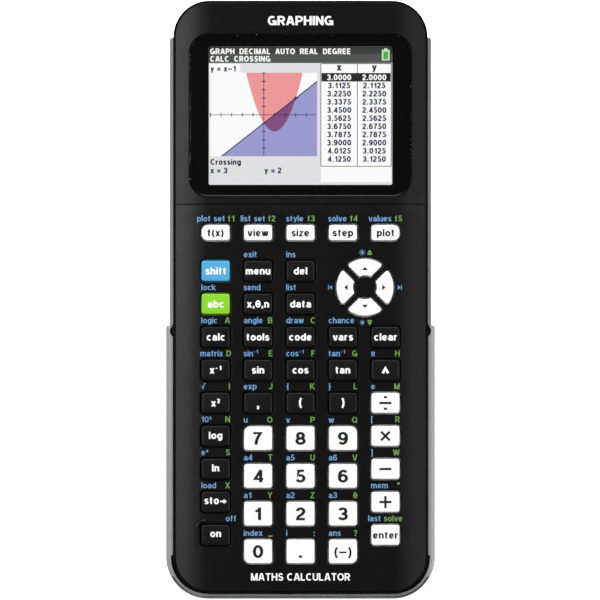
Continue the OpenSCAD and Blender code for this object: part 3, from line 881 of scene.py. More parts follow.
def key_mat():
    """Silicone sheet with a hollow dome under each key."""
    silicone = plastic("mat_silicone", (150, 150, 154), 0.6, (170, 170, 174))
    low, high = node_box("key_mat")
    sheet_top, dome_top, roof = low[2] + MAT_SHEET_T, high[2] - DOME_CLEARANCE, high[2] - DOME_ROOF
    hollow = DOME_HOLLOW_R - DOME_TOP_R
    sheet, under, over = Shell(), [], []
    edge = rectangle((low + high)[:2] / 2, (high - low)[:2], MAT_R, 8, 8.0)
    soft = MAT_CHAMFER
    bottom, top = sheet.stack(edge, [
        (-soft, low[2]), (0, low[2] + soft), (0, sheet_top - soft), (-soft, sheet_top)])
    for name in key_names:
        spot = key_outline(name)[1]
        first, last = sheet.stack(circle(spot, DOME_HOLLOW_R), [(0, low[2]), (0, sheet_top)])
        under.append(first)
        over.append(last)
        dome = Shell()
        dome.closed(circle(spot, DOME_TOP_R), [
            (hollow, roof), (hollow, sheet_top + 0.01), (DOME_LOW_R - DOME_TOP_R, sheet_top + 0.01),
            (0.05, dome_top - 0.1), (-0.1, dome_top)])
        piece = dome.place("dome_" + name[4:], silicone, CASE, "mat_rubber")
        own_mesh(piece)
    sheet.sheet(bottom, under, lambda x, y: low[2])
    sheet.sheet(top, over, lambda x, y: sheet_top)
    sheet.place("mat_sheet", silicone, CASE, "mat_rubber", "key_mat")


# ---------------------------------------------------------------- lettering
# A plain sans-serif drawn with strokes. Capitals are 1 high and small letters 0.74; the base line is at 0.
# Each line of the table has a glyph, its width and its strokes. A stroke runs through points (x,y) and
# along arcs (x,y,half width,half height,start,end), and closes if it ends where it starts.
GLYPH_TABLE = """
0 .44 .22,.5,.22,.42,0,360
1 .3 .28,0 .28,1 | .02,.71 .2,.74 .28,.88
2 .42 .2,.7,.2,.22,175,-25 .3,.48 .06,.26 .02,.08 .46,.08
3 .44 .2,.71,.19,.21,160,-90 .14,.5 | .14,.5 .2,.29,.22,.21,90,-160
4 .46 .36,0 .36,1 | .36,.94 .02,.27 .52,.27
5 .42 .42,.92 .1,.92 .04,.46 .2,.32,.22,.24,125,-160
6 .44 .22,.33,.21,.25,0,360 | .24,.48,.24,.44,200,45
7 .42 -.02,.92 .42,.92 .28,.64 .18,.34 .14,0
8 .44 .22,.71,.18,.21,0,360 | .22,.29,.22,.21,0,360
9 .44 .22,.67,.21,.25,0,360 | .2,.52,.24,.44,20,-135
A .56 0,0 .24,.99 | .32,.99 .56,0 | .12,.3 .44,.3
B .48 0,0 0,1 | 0,.92 .24,.92 .24,.71,.2,.21,90,-90 0,.5 | 0,.5 .27,.5 .27,.29,.21,.21,90,-90 0,.08
C .54 .28,.5,.28,.42,48,312
D .52 0,0 0,1 | 0,.92 .2,.92 .2,.5,.32,.42,90,-90 0,.08
E .42 0,0 0,1 | 0,.92 .44,.92 | 0,.5 .4,.5 | 0,.08 .45,.08
F .4 0,0 0,1 | 0,.92 .42,.92 | 0,.5 .36,.5
G .58 .28,.5,.28,.42,50,345 | .3,.44 .58,.44 .58,0
H .5 0,0 0,1 | .5,0 .5,1 | 0,.5 .5,.5
I 0 0,0 0,1
J .36 .34,1 .34,.3 .17,.27,.17,.19,0,-180
K .5 0,0 0,1 | .5,1 .04,.42 | .18,.58 .54,0
L .38 0,0 0,1 | 0,.08 .42,.08
M .62 0,0 0,1 | .62,0 .62,1 | .04,.96 .28,.02 | .34,.02 .58,.96
N .5 0,0 0,1 | .5,0 .5,1 | .02,.95 .48,.05
O .58 .28,.5,.3,.42,0,360
P .46 0,0 0,1 | 0,.92 .26,.92 .26,.68,.21,.24,90,-90 0,.44
Q .58 .28,.5,.3,.42,0,360 | .36,.26 .6,0
R .48 0,0 0,1 | 0,.92 .26,.92 .26,.69,.21,.23,90,-90 0,.46 | .26,.46 .48,0
S .46 .24,.7,.2,.22,25,250 .23,.29,.22,.21,75,-155
T .5 .25,0 .25,1 | -.04,.92 .54,.92
U .48 0,1 0,.3 .24,.3,.24,.22,180,360 .48,1
V .54 0,1 .23,.01 | .31,.01 .54,1
W .8 0,1 .17,.01 | .23,.01 .38,.96 | .42,.96 .57,.01 | .63,.01 .8,1
X .52 0,0 .52,1 | 0,1 .52,0
Y .54 0,1 .27,.45 .54,1 | .27,0 .27,.5
Z .48 .02,.92 .47,.92 .02,.08 .5,.08
a .4 .38,0 .38,.45 .2,.48,.18,.18,0,160 | .19,.23,.19,.15,90,360 | .18,.39 .38,.39
b .42 .21,.37,.21,.29,0,360 | 0,0 0,1
c .38 .21,.37,.21,.29,50,310
d .42 .21,.37,.21,.29,0,360 | .42,0 .42,1
e .42 .21,.37,.21,.29,-45,-360 .02,.36
f .24 .09,0 .09,.78 .21,.78,.12,.14,180,85 | -.06,.66 .25,.66
g .42 .21,.37,.21,.29,0,360 | .42,.74 .42,.02 .22,0,.2,.16,0,-150
h .38 0,0 0,1 | 0,.4 .19,.45,.19,.21,170,0 .38,0
i 0 0,0 0,.74 | 0,.86 0,1
k .36 0,0 0,1 | .38,.74 .04,.3 | .14,.44 .42,0
l 0 0,0 0,1
m .68 0,0 0,.74 | 0,.4 .17,.45,.17,.21,170,0 .34,0 | .34,.4 .51,.45,.17,.21,170,0 .68,0
n .38 0,0 0,.74 | 0,.4 .19,.45,.19,.21,170,0 .38,0
o .42 .21,.37,.21,.29,0,360
p .42 .21,.37,.21,.29,0,360 | 0,-.24 0,.74
r .22 0,0 0,.74 | 0,.4 .2,.44,.2,.22,170,75
s .34 .18,.52,.15,.145,25,250 .17,.22,.17,.145,70,-155
t .24 .09,.92 .09,.22 .2,.2,.11,.12,180,275 | -.05,.66 .25,.66
u .38 .38,0 .38,.74 | 0,.74 .19,.29,.19,.21,180,360 .38,.34
v .4 0,.74 .17,.01 | .23,.01 .4,.74
w .62 0,.74 .13,.01 | .17,.01 .3,.72 | .32,.72 .45,.01 | .49,.01 .62,.74
x .38 0,0 .38,.74 | 0,.74 .38,0
y .4 0,.74 .2,.08 | .4,.74 .16,-.08 .02,-.16
z .34 0,.66 .34,.66 0,.08 .36,.08
( .14 .36,.4,.34,.62,125,235
) .14 -.22,.4,.34,.62,55,-55
[ .14 .16,.96 0,.96 0,-.12 .16,-.12
] .14 -.02,.96 .14,.96 .14,-.12 -.02,-.12
{ .18 .2,.96 .1,.92 .1,.5 0,.42 .1,.34 .1,-.08 .2,-.12
} .18 -.02,.96 .08,.92 .08,.5 .18,.42 .08,.34 .08,-.08 -.02,-.12
. .04 -.08,.1 .12,.1
, .06 -.07,.1 .13,.1 | .06,.1 0,-.16
: .02 -.09,.1 .11,.1 | -.09,.6 .11,.6
? .38 .19,.72,.18,.2,170,-45 .19,.44 .19,.26 | .09,.08 .29,.08
^ .4 0,.42 .2,.8 .4,.42
+ .5 -.04,.42 .54,.42 | .25,.13 .25,.71
− .5 -.04,.42 .54,.42
- .2 -.04,.4 .24,.4
× .42 0,.21 .42,.63 | 0,.63 .42,.21
÷ .5 -.04,.42 .54,.42 | .18,.7 .32,.7 | .18,.14 .32,.14
= .46 -.04,.56 .5,.56 | -.04,.26 .5,.26
_ .4 -.02,.12 -.02,-.06 .42,-.06 .42,.12
" .16 0,.62 0,1 | .2,.62 .2,1
√ .56 -.04,.42 .08,.46 .2,.04 .36,.96 .6,.96
π .46 -.04,.66 .52,.66 | .1,0 .1,.7 | .38,0 .38,.7
θ .42 .21,.5,.21,.42,0,360 | 0,.5 .42,.5
→ .6 -.04,.36 .5,.36 | .36,.6 .6,.36 .36,.12
"""
LETTER_GAP, SPACE = 0.08, 0.36
RAISED = {"⁻": "-", "¹": "1", "²": "2", "ˣ": "x"}
RAISED_SIZE, RAISED_BY = 0.58, 0.5


def bow(x, y, half_w, half_h, start, end):
    """Points along an upright ellipse, angles in degrees."""
    steps = max(2, round(abs(end - start) / 18))
    angles = [math.radians(start + (end - start) * k / steps) for k in range(steps + 1)]
    return [(x + half_w * math.cos(a), y + half_h * math.sin(a)) for a in angles]


def read_stroke(words):
    """Points of one stroke of the glyph table."""
    points = []
    for word in words.split():
        numbers = [float(n) for n in word.split(",")]
        points += bow(*numbers) if len(numbers) > 2 else [tuple(numbers)]
    return points


def read_glyphs():
    """Width and strokes of each glyph."""
    glyphs = {}
    for line in GLYPH_TABLE.strip().splitlines():
        glyph, width, strokes = line.split(" ", 2)
        glyphs[glyph] = float(width), [read_stroke(words) for words in strokes.split("|")]
    return glyphs


GLYPHS = read_glyphs()


def thick_stroke(points, half):
    """Quads that cover a stroke, mitred where it turns."""
    moved = [i == 0 or math.dist(p, points[i - 1]) > 1e-6 for i, p in enumerate(points)]
    points = [np.array(p, float) for p, kept in zip(points, moved) if kept]
    closed = np.allclose(points[0], points[-1])
    if closed:
        points = points[:-1]
    n = len(points)
    sides = []
    for i, p in enumerate(points):
        ahead = points[(i + 1) % n] - p if closed or i < n - 1 else p - points[i - 1]
        behind = p - points[i - 1] if closed or i > 0 else ahead
        ahead, behind = ahead / np.linalg.norm(ahead), behind / np.linalg.norm(behind)
        along = ahead + behind
        along = along / max(np.linalg.norm(along), 1e-6)
        out = np.array([along[1], -along[0]]) * half / max(float(along @ ahead), 0.6)
        sides.append((p + out, p - out))
    count = n if closed else n - 1
    return [(sides[i][0], sides[(i + 1) % n][0], sides[(i + 1) % n][1], sides[i][1]) for i in range(count)]


def covered(points, quads):
    """Which points lie in any of the quads."""
    inside = np.zeros(len(points), bool)
    for quad in quads:
        sides = [(b[0] - a[0]) * (points[:, 1] - a[1]) - (b[1] - a[1]) * (points[:, 0] - a[0])
                 for a, b in zip(quad, quad[1:] + quad[:1])]
        inside |= np.all(np.array(sides) >= 0, axis=0) | np.all(np.array(sides) <= 0, axis=0)
    return inside


def letters(text, style):
    """Closed mesh of a line of text, its base line's left end at the origin, in millimetres."""
    height, weight, stretch = style
    quads, x = [], weight / 2
    for letter in text:
        if letter == " ":
            x += SPACE
            continue
        raised = letter in RAISED
        size = RAISED_SIZE if raised else 1.0
        width, strokes = GLYPHS[RAISED.get(letter, letter)]
        for stroke in strokes:
            for quad in thick_stroke(stroke, weight / 2 / size ** 0.5):
                quads.append([p * size + (x, RAISED_BY if raised else 0) for p in quad])
        x += width * size + LETTER_GAP + weight
    corners = [Vector(tuple(p)) for quad in quads for p in quad]
    edges = [(4 * i + k, 4 * i + (k + 1) % 4) for i in range(len(quads)) for k in range(4)]
    plan, _, faces, _, _, _ = delaunay_2d_cdt(corners, edges, [], 0, 1e-5)
    plan = np.array([tuple(p) for p in plan])
    kept = covered(np.array([plan[list(f)].mean(0) for f in faces]), quads)
    faces = [tuple(f) for f, inked in zip(faces, kept) if inked]
    plan = plan * (height * stretch, height)
    n = len(plan)
    points = np.vstack([np.c_[plan, np.full(n, -PRINT_T / 2)], np.c_[plan, np.full(n, PRINT_T / 2)]])
    sides = {(f[k], f[(k + 1) % 3]) for f in faces for k in range(3)}
    rim = [e for e in sides if e[::-1] not in sides]
    shut = [tuple(reversed(f)) for f in faces] + [tuple(i + n for i in f) for f in faces]
    shut += [(a, b, b + n, a + n) for a, b in sorted(rim)]
    return points, shut


def put_letters(shell, text, spot, style, anchor=0.5, base=0.0, centred=False):
    """Adds a line of text at spot; anchor 0, 0.5 or 1 aligns its left side, middle or right side."""
    points, faces = letters(text, style)
    low, high = points.min(0), points.max(0)
    middle_y = (low[1] + high[1]) / 2 if centred else style[0] / 2
    points[:, 0] += spot[0] - low[0] - anchor * (high[0] - low[0])
    points[:, 1] += spot[1] - middle_y
    points[:, 2] += base
    shell.add(points, faces)


# Each key's name, its legend and the blue and green labels above it.
KEY_TABLE = """
function|f(x)|plot set|f1
view|view|list set|f2
size|size|style|f3
step|step|solve|f4
plot|plot|values|f5
shift|shift||
menu|menu|exit|
delete|del|ins|
letters|abc|lock|
variable|x,θ,n|send|
data|data|list|
calculate|calc|logic|A
tools|tools|angle|B
program|code|draw|C
memory|vars|chance|
clear|clear||
inverse|x⁻¹|matrix|D
sine|sin|sin⁻¹|E
cosine|cos|cos⁻¹|F
tangent|tan|tan⁻¹|G
power|^|π|H
square|x²|√|I
comma|,|exp|J
open_bracket|(|{|K
close_bracket|)|}|L
divide|÷|e|M
log|log|10ˣ|N
7|7|u|O
8|8|v|P
9|9|w|Q
multiply|×|[|R
ln|ln|eˣ|S
4|4|a4|T
5|5|a5|U
6|6|a6|V
minus|−|]|W
store|sto→|load|X
1|1|a1|Y
2|2|a2|Z
3|3|a3|θ
plus|+|mem|"
on|on||
0|0|index|_
point|.|i|:
negative|(−)|ans|?
enter|enter|last|solve
"""
KEY_ROWS = [line.split("|") for line in KEY_TABLE.strip().split("\n")]
KEY_WORDS = {"key_" + name: words for name, *words in KEY_ROWS}
WORD_STYLE, DIGIT_STYLE = (2.25, 0.2, 1.2), (4.0, 0.19, 1.32)
LEGEND_STYLES = {
    "key_negative": (3.3, 0.16, 1.2), "key_power": (4.2, 0.2, 1.0), "key_comma": (3.0, 0.2, 1.0),
    "key_open_bracket": (3.0, 0.2, 1.0), "key_close_bracket": (3.0, 0.2, 1.0),
    **{name: (6.6, 0.11, 1.0) for name in SIGN_KEYS},
}
LEGEND_RISE = {"key_log": 0.2, "key_ln": 0.35, "key_store": 0.5, "key_on": 0.5}
OFF_SHIFT = 1.9
MARK, MARK_R = [(-0.95, -0.45), (0.95, -0.45), (0, 0.6)], 5.95
HEADINGS = [("GRAPHING", 88.9, (2.9, 0.19, 1.25)), ("MATHS CALCULATOR", -88.1, (2.35, 0.17, 1.15))]


def key_legend(name):
    """Printed legend on one key, in the key's own moving frame."""
    text = KEY_WORDS[name][0]
    style = LEGEND_STYLES.get(name, DIGIT_STYLE if name in NUMBER_KEYS else WORD_STYLE)
    low, high = node_box(name)
    middle = (low + high)[:2] / 2
    half = (high - low)[:2] / 2 - FLANGE
    top = high[2] - KEY_CROWN + PRINT_RISE
    centred = len(text) == 1 and not text.isalnum() and text not in ",."
    shell = Shell()
    put_letters(shell, text, middle + (0, LEGEND_RISE.get(name, 0)), style, centred=centred)
    shell.points = [(x, y, top + crown_height((x, y), middle, half) + z) for x, y, z in shell.points]
    ink, slot = (BLACK_INK, "key_black") if name in WHITE_KEYS else (WHITE_INK, "key_white")
    shell.place("legend_" + name[4:], ink, name, slot)


def arrow_mark(name):
    """Small printed triangle on an arrow key."""
    turn = math.radians(90 * ARROW_NAMES.index(name))
    top = node_box(name)[1][2] - KEY_CROWN
    loop = turned([(x, y + MARK_R) for x, y in MARK], turn, pad_centre)
    shell = Shell()
    shell.plate(loop, top - PRINT_SINK, top + PRINT_SINK)
    shell.place("mark_" + name[4:], BLACK_INK, name, "key_black")


def case_labels():
    """Blue and green labels above the keys, spread over the key or centred on it if they're longer."""
    blue, green = Shell(), Shell()
    base = TOP_Z + PRINT_RISE
    for name, (_, left, right) in KEY_WORDS.items():
        low, high = node_box(name)
        y = high[1] - FLANGE + LABEL_RISE
        left_x, right_x = low[0] + FLANGE, high[0] - FLANGE
        widths = [np.ptp(letters(words, LABEL_STYLE)[0][:, 0]) for words in (left, right) if words]
        over = max(0, sum(widths) + LABEL_GAP - (right_x - left_x)) if right else 0
        if left:
            put_letters(blue, left, (left_x - over / 2, y), LABEL_STYLE, 0, base)
        if right:
            put_letters(green, right, (right_x + over / 2, y), LABEL_STYLE, 1, base)
    high = node_box("key_on")[1]
    off_spot = (high[0] - FLANGE + OFF_SHIFT, high[1] - FLANGE + LABEL_RISE)
    put_letters(blue, "off", off_spot, LABEL_STYLE, 1, base)
    arrow_icons(blue, green)
    for shell in (blue, green):
        shell.points = [(x, y, z + face_height(x, y) - TOP_Z) for x, y, z in shell.points]
    blue.place("labels_blue", BLUE_INK, CASE, "key_blue")
    green.place("labels_green", GREEN_INK, CASE, "key_green")


def arrow_icons(blue, green):
    """Small symbols round the arrow keys: brightness, page up and down, start and end of line."""
    def icon(shell, loop):
        shell.plate(loop, TOP_Z - PRINT_SINK, TOP_Z - PRINT_SINK + PRINT_T)

    for side in (1, -1):
        y = pad_centre[1] + side * (pad_outer_r + 2.0)
        sun_x, page_x = pad_centre[0] - 0.85, pad_centre[0] + 1.5
        ray_end = 0.98 if side > 0 else 0.82
        icon(blue, circle((sun_x, y), 0.45, 12)())
        for k in range(8):
            ray = [(0.6, -0.1), (ray_end, -0.1), (ray_end, 0.1), (0.6, 0.1)]
            icon(blue, turned(ray, math.pi / 4 * k, (sun_x, y)))
        foot = y - side * 0.1
        icon(green, [(page_x - 0.75, foot), (page_x + 0.75, foot), (page_x, y + side * 0.85)])
        icon(green, rectangle((page_x, y - side * 0.55), (1.4, 0.5), 0.1, 2)())
    for side in (1, -1):
        x, y = pad_centre[0] + side * (pad_outer_r + 1.9), pad_centre[1]
        icon(blue, rectangle((x + side * 0.55, y), (0.26, 1.6), 0.05, 2)())
        icon(blue, [(x - side * 0.6, y - 0.7), (x + side * 0.35, y), (x - side * 0.6, y + 0.7)])


def heading():
    """Plain wording at the two ends of the face."""
    shell = Shell()
    for words, y, style in HEADINGS:
        put_letters(shell, words, (0, y), style, base=TOP_Z + PRINT_RISE)
    shell.place("heading_white", WHITE_INK, CASE, "key_white")


# ---------------------------------------------------------------- display
# The picture is measured from the display's upper left corner, in millimetres across and down.
SCREEN_INKS = {
    "panel_grey": (226, 226, 228), "status_dark": (46, 51, 46), "status_soft": (70, 76, 70),
    "text_white": (250, 250, 250), "battery_rim": (190, 225, 180), "battery_green": (70, 170, 60),
    "paper_white": (254, 254, 254), "ink_navy": (24, 24, 84), "row_black": (8, 8, 12),
    "shade_red": (240, 150, 150), "shade_blue": (152, 152, 208), "shade_both": (128, 66, 124),
}
SCREEN_LAYER = 0.03
SCREEN_STYLE, HEAD_STYLE = (1.75, 0.23, 1.1), (2.3, 0.23, 1.1)
STATUS_H, STATUS_SPLIT = 5.2, 0.45
PLOT_LEFT, PLOT_RIGHT, PLOT_TOP, PLOT_BOTTOM = 0.35, 34.5, 8.3, 34.9
ORIGIN_X, ORIGIN_Y = 17.5, 21.7
UNIT_X, UNIT_Y = 3.4, 2.66
AXIS_HALF_T, DASH, DASH_PITCH, TICK, CROSS = 0.15, 0.44, 0.66, 0.6, 0.8
TABLE_LEFT, TABLE_SPLIT, TABLE_RIGHT = 35.7, 47.3, 58.1
TABLE_TOP, TABLE_HEAD, TABLE_ROW, TABLE_ROWS = 5.4, 3.1, 2.6, 11
TABLE_FIRST, TABLE_STEP, RULE_HALF_T = 3, 0.1125, 0.11


def lens():
    """Clear window, the printed border under it and its bevelled lower edge."""
    def visible(grow=0.0):
        return lens_outline(grow - LENS_INSET)

    glass = solid("lens_window", visible, lens_low[2] + BORDER_T, lens_high[2], 0.1, 0.2, CLEAR_LENS)
    hand_over(glass, CASE, "lens", "screen_lens")
    border, heights = Shell(), (lens_low[2], lens_low[2] + BORDER_T - 0.01)
    outer_low, outer_high = border.stack(lens_outline, [(-0.3, z) for z in heights])
    picture = rectangle(lens_middle, PICTURE, WINDOW_R, 10)
    inner_low, inner_high = border.stack(picture, [(0.05, z) for z in heights])
    border.band(outer_low, inner_low)
    border.band(outer_high, inner_high)
    border.place("lens_border", BORDER_INK, CASE, "lens")
    lens_bevel()


def lens_bevel():
    """Bevelled lower edge of the lens, which catches the light from the display end."""
    shell, top = Shell(), lens_high[2]
    half_w, half_l = lens_size / 2
    radius = LENS_R - (LENS_INSET + 0.1)
    corner = arc((half_w - LENS_R, lens_middle[1] - half_l + LENS_R), radius, 270, 325, 8)
    path = [(-x, y) for x, y in reversed(corner)] + corner
    last = len(path) - 1
    path = [(x, y, min(1.0, 0.1 + 0.35 * min(i, last - i))) for i, (x, y) in enumerate(path)]
    sweep(shell, path, [(0, top - 0.02), (-BEVEL_W, top - 0.02), (0, top + BEVEL_RISE)])
    shell.place("lens_lower_bevel", GLOSS_BLACK, CASE, "lens")


class Picture:
    """The lit picture, built up of thin layers of light."""

    def __init__(self):
        self.left, self.top = lens_middle[0] - PICTURE[0] / 2, lens_middle[1] + PICTURE[1] / 2
        self.base = node_box("display_module")[1][2]
        self.layers = {ink: Shell() for ink in SCREEN_INKS}

    def patch(self, ink, x0, y0, x1, y1, level):
        low = (self.left + min(x0, x1), self.top - max(y0, y1), self.base)
        high = (self.left + max(x0, x1), self.top - min(y0, y1), self.base + SCREEN_LAYER * level)
        self.layers[ink].add(*block(low, high))

    def spot(self, ink, x, y, half_w, half_h, level):
        """A patch round its middle."""
        self.patch(ink, x - half_w, y - half_h, x + half_w, y + half_h, level)

    def text(self, ink, words, x, y, level, anchor=0.0, style=SCREEN_STYLE):
        spot = (self.left + x, self.top - y + style[0] / 2)
        put_letters(self.layers[ink], words, spot, style, anchor, self.base + SCREEN_LAYER * level)

    def area(self, ink, low_of, high_of, level, steps=150):
        """Fills between two curves of plot units, inside the plot."""
        run = []
        for k in range(steps + 2):
            x = PLOT_LEFT + (PLOT_RIGHT - PLOT_LEFT) * k / steps
            u = (x - ORIGIN_X) / UNIT_X
            low = min(PLOT_BOTTOM, ORIGIN_Y - UNIT_Y * low_of(u))
            high = max(PLOT_TOP, ORIGIN_Y - UNIT_Y * high_of(u))
            if k <= steps and low - high > 0.03:
                run.append((self.left + x, self.top - low, self.top - high))
                continue
            if len(run) > 1:
                self.fill(self.layers[ink], run, self.base + SCREEN_LAYER * level)
            run = []

    def fill(self, shell, run, height):
        """Closed strip through a run of (x, low, high)."""
        loop = [(x, low) for x, low, _ in run] + [(x, high) for x, _, high in reversed(run)]
        rings = shell.ring(loop, self.base), shell.ring(loop, height)
        shell.band(*rings)
        last = len(loop) - 1
        for ring in rings:
            for i in range(len(run) - 1):
                shell.faces.append((ring[i], ring[i + 1], ring[last - 1 - i], ring[last - i]))


def screen():
    """Status bar, a plot of two shaded regions that cross, and a table of values."""
    view = Picture()
    w, h = PICTURE
    split = STATUS_H * STATUS_SPLIT
    for patch in (
        ("panel_grey", 0, 0, w, h, 1),
        ("status_dark", 0, 0, w, split, 2),
        ("status_soft", 0, split, w, STATUS_H, 2),
        ("battery_rim", w - 3.3, 1.0, w - 0.8, 4.4, 3),
        ("battery_rim", w - 2.6, 0.5, w - 1.5, 1.1, 3),
        ("battery_green", w - 2.75, 1.6, w - 1.35, 4.0, 4),
    ):
        view.patch(*patch)
    view.text("text_white", "GRAPH  DECIMAL  AUTO  REAL  DEGREE", 0.4, 2.35, 3)
    view.text("text_white", "CALC  CROSSING", 0.4, 4.75, 3)
    draw_plot(view)
    draw_table(view)
    for ink, shell in view.layers.items():
        light = screen_light("screen_" + ink, linear(*SCREEN_INKS[ink]))
        shell.place("screen_" + ink, light, CASE, "display_metal")


def draw_plot(view):
    """Shaded regions below a line and above a parabola, the axes, and the point where the two cross."""
    def curve(u):
        return (u - 1) ** 2 - 2

    def line(u):
        return u - 1

    view.patch("paper_white", PLOT_LEFT, PLOT_TOP, PLOT_RIGHT, PLOT_BOTTOM, 2)
    view.patch("paper_white", 0.2, STATUS_H + 0.3, 10.0, PLOT_TOP, 2)
    view.area("shade_blue", lambda u: -99, line, 3)
    view.area("shade_red", curve, lambda u: 99, 3.4)
    view.area("shade_both", curve, line, 3.8)
    view.area("ink_navy", lambda u: line(u) - 0.08, lambda u: line(u) + 0.08, 4.4)
    for x in np.arange(PLOT_LEFT + 0.1, PLOT_RIGHT - DASH, DASH_PITCH):
        view.patch("ink_navy", x, ORIGIN_Y - AXIS_HALF_T, x + DASH, ORIGIN_Y + AXIS_HALF_T, 5)
    for y in np.arange(PLOT_TOP + 0.1, PLOT_BOTTOM - DASH, DASH_PITCH):
        view.patch("ink_navy", ORIGIN_X - AXIS_HALF_T, y, ORIGIN_X + AXIS_HALF_T, y + DASH, 5.2)
    for k in [n for n in range(-5, 6) if n]:
        x, y = ORIGIN_X + UNIT_X * k, ORIGIN_Y + UNIT_Y * k
        if PLOT_LEFT < x < PLOT_RIGHT:
            view.spot("ink_navy", x, ORIGIN_Y, AXIS_HALF_T, TICK, 5.4)
        if PLOT_TOP < y < PLOT_BOTTOM:
            view.spot("ink_navy", ORIGIN_X, y, TICK, AXIS_HALF_T, 5.6)
    cross = ORIGIN_X + 3 * UNIT_X, ORIGIN_Y - 2 * UNIT_Y
    view.spot("ink_navy", *cross, CROSS, AXIS_HALF_T, 5.8)
    view.spot("ink_navy", *cross, AXIS_HALF_T, CROSS, 5.8)
    view.text("ink_navy", "y = x−1", 0.5, 7.9, 6)
    view.text("row_black", "Crossing", 0.5, 37.6, 6)
    view.text("ink_navy", "x = 3", 0.5, 40.3, 6)
    view.text("ink_navy", "y = 2", ORIGIN_X + 0.2, 40.3, 6)


def draw_table(view):
    """Two columns of values, the first row of them picked out."""
    first = TABLE_TOP + TABLE_HEAD
    last = first + TABLE_ROW * TABLE_ROWS + 1.0
    view.patch("paper_white", TABLE_LEFT, TABLE_TOP, TABLE_RIGHT, PICTURE[1] - 0.9, 2)
    for x in (TABLE_LEFT, TABLE_SPLIT, TABLE_RIGHT):
        view.patch("row_black", x - RULE_HALF_T, TABLE_TOP, x + RULE_HALF_T, last, 4)
    for y in (TABLE_TOP, first, last):
        view.patch("row_black", TABLE_LEFT, y - RULE_HALF_T, TABLE_RIGHT, y + RULE_HALF_T, 4)
    view.patch("row_black", TABLE_LEFT + 0.2, first, TABLE_RIGHT - 0.2, first + TABLE_ROW, 5)
    columns = ((TABLE_LEFT + TABLE_SPLIT) / 2, (TABLE_SPLIT + TABLE_RIGHT) / 2)
    for x, head in zip(columns, "xy"):
        view.text("ink_navy", head, x, first - 0.9, 6, 0.5, HEAD_STYLE)
    for k in range(TABLE_ROWS):
        value = TABLE_FIRST + TABLE_STEP * k
        ink = "ink_navy" if k else "text_white"
        for x, number in zip(columns, (value, value - 1)):
            view.text(ink, f"{number:.4f}", x, first + TABLE_ROW * (k + 1) - 0.45, 7, 0.5)


# ---------------------------------------------------------------- slide cover

def groove_ring(rim, rail_z):
    """Cutter for the fine line in the top of the cover's end wall."""
    pairs = [(p, q) for p, q in zip(rim(-END_LINE[1]), rim(-END_LINE[0])) if q[1] < END_LINE_Y]
    pairs.sort(key=lambda pair: pair[1][0])
    inner, outer = zip(*pairs)
    bottom, top = rail_z - END_LINE_DEPTH, rail_z + 1
    shell = Shell()
    rows = [shell.ring(loop, z) for loop, z in ((inner, bottom), (outer, bottom), (outer, top), (inner, top))]
    for k in range(len(inner) - 1):
        for a, b in zip(rows, rows[1:] + rows[:1]):
            shell.faces.append((a[k], a[k + 1], b[k + 1], b[k]))
    shell.lids([row[0] for row in rows], [row[-1] for row in rows])
    return shell.build("groove_ring", COVER_PLASTIC)


def cover():
    """Tray with rails round the case's lower half, low walls, a plate and a notch in each rail."""
    cover_low, cover_high = node_box("slide_cover")
    half_w, bottom_y, rail_z = cover_high[0], cover_low[1], cover_high[2]
    inner, cavity_top = CASE_W / 2 + RAIL_GAP, rail_z + 1

    def across(half, y0, y1, radii, steps=28):
        return rectangle((0, (y0 + y1) / 2), (2 * half, y1 - y0), radii, steps)

    rail_outline = across(half_w, bottom_y, RAIL_TOP_Y, [0.7, 0.7, COVER_R, COVER_R])
    walls_outline = across(UPPER_HALF_W, RAIL_TOP_Y - 12, LOW_WALL_TOP_Y, 1.0)
    plate_outline = across(TOP_HALF_W, RAIL_TOP_Y, PLATE_TOP_Y, [10, 10, 1, 1])
    cavity = across(inner, RAIL_END_Y, 200, 0.4, 4)
    end_r = COVER_R - COVER_WALL_T
    end = across(half_w - COVER_WALL_T, bottom_y + COVER_WALL_T, RAIL_END_Y + 0.5, [0.3, 0.3, end_r, end_r])
    groove = across(CASE_W / 2 + TONGUE_REACH + 0.3, RAIL_END_Y - 1, RAIL_TOP_Y + 3, 0.2, 3)
    tray = solid("slide_cover_tray", rail_outline, 0, rail_z, COVER_FOOT_R, RIM_DROP, COVER_PLASTIC, RIM_W)
    combine(tray, [
        solid("walls", walls_outline, 0, LOW_WALL_Z, COVER_FOOT_R, 0.45),
        solid("plate", plate_outline, 0, COVER_PLATE_T, COVER_FOOT_R, 0.3),
    ], "UNION")
    cutters = [
        solid("cavity", cavity, COVER_PLATE_T, cavity_top), solid("end", end, COVER_PLATE_T, cavity_top),
        solid("groove", groove, *GROOVE_Z), groove_ring(rail_outline, rail_z),
    ]
    notch_r = (NOTCH_HALF_L ** 2 + NOTCH_DEPTH ** 2) / (2 * NOTCH_DEPTH)
    for side in (-1, 1):
        spot = (side * (inner + NOTCH_DEPTH - notch_r), RAIL_TOP_Y - NOTCH_DROP)
        cutters.append(solid("notch", circle(spot, notch_r, 48), NOTCH_FLOOR_Z, cavity_top))
    combine(tray, cutters, "DIFFERENCE")
    hand_over(tray, "slide_cover", "cover_plastic", "slide_cover")


# ---------------------------------------------------------------- CAD nodes that stay

def dress(node, material, bevel=0.0):
    """Gives a CAD node its material and, where it shows, softened edges."""
    part = frame["nodes"][node]
    part.data.materials.clear()
    part.data.materials.append(material)
    if bevel:
        soft = part.modifiers.new("soft edges", "BEVEL")
        soft.width = bevel * MM
        soft.segments = 2
        soft.limit_method = "ANGLE"
        soft.angle_limit = math.radians(40)
        soft.harden_normals = True


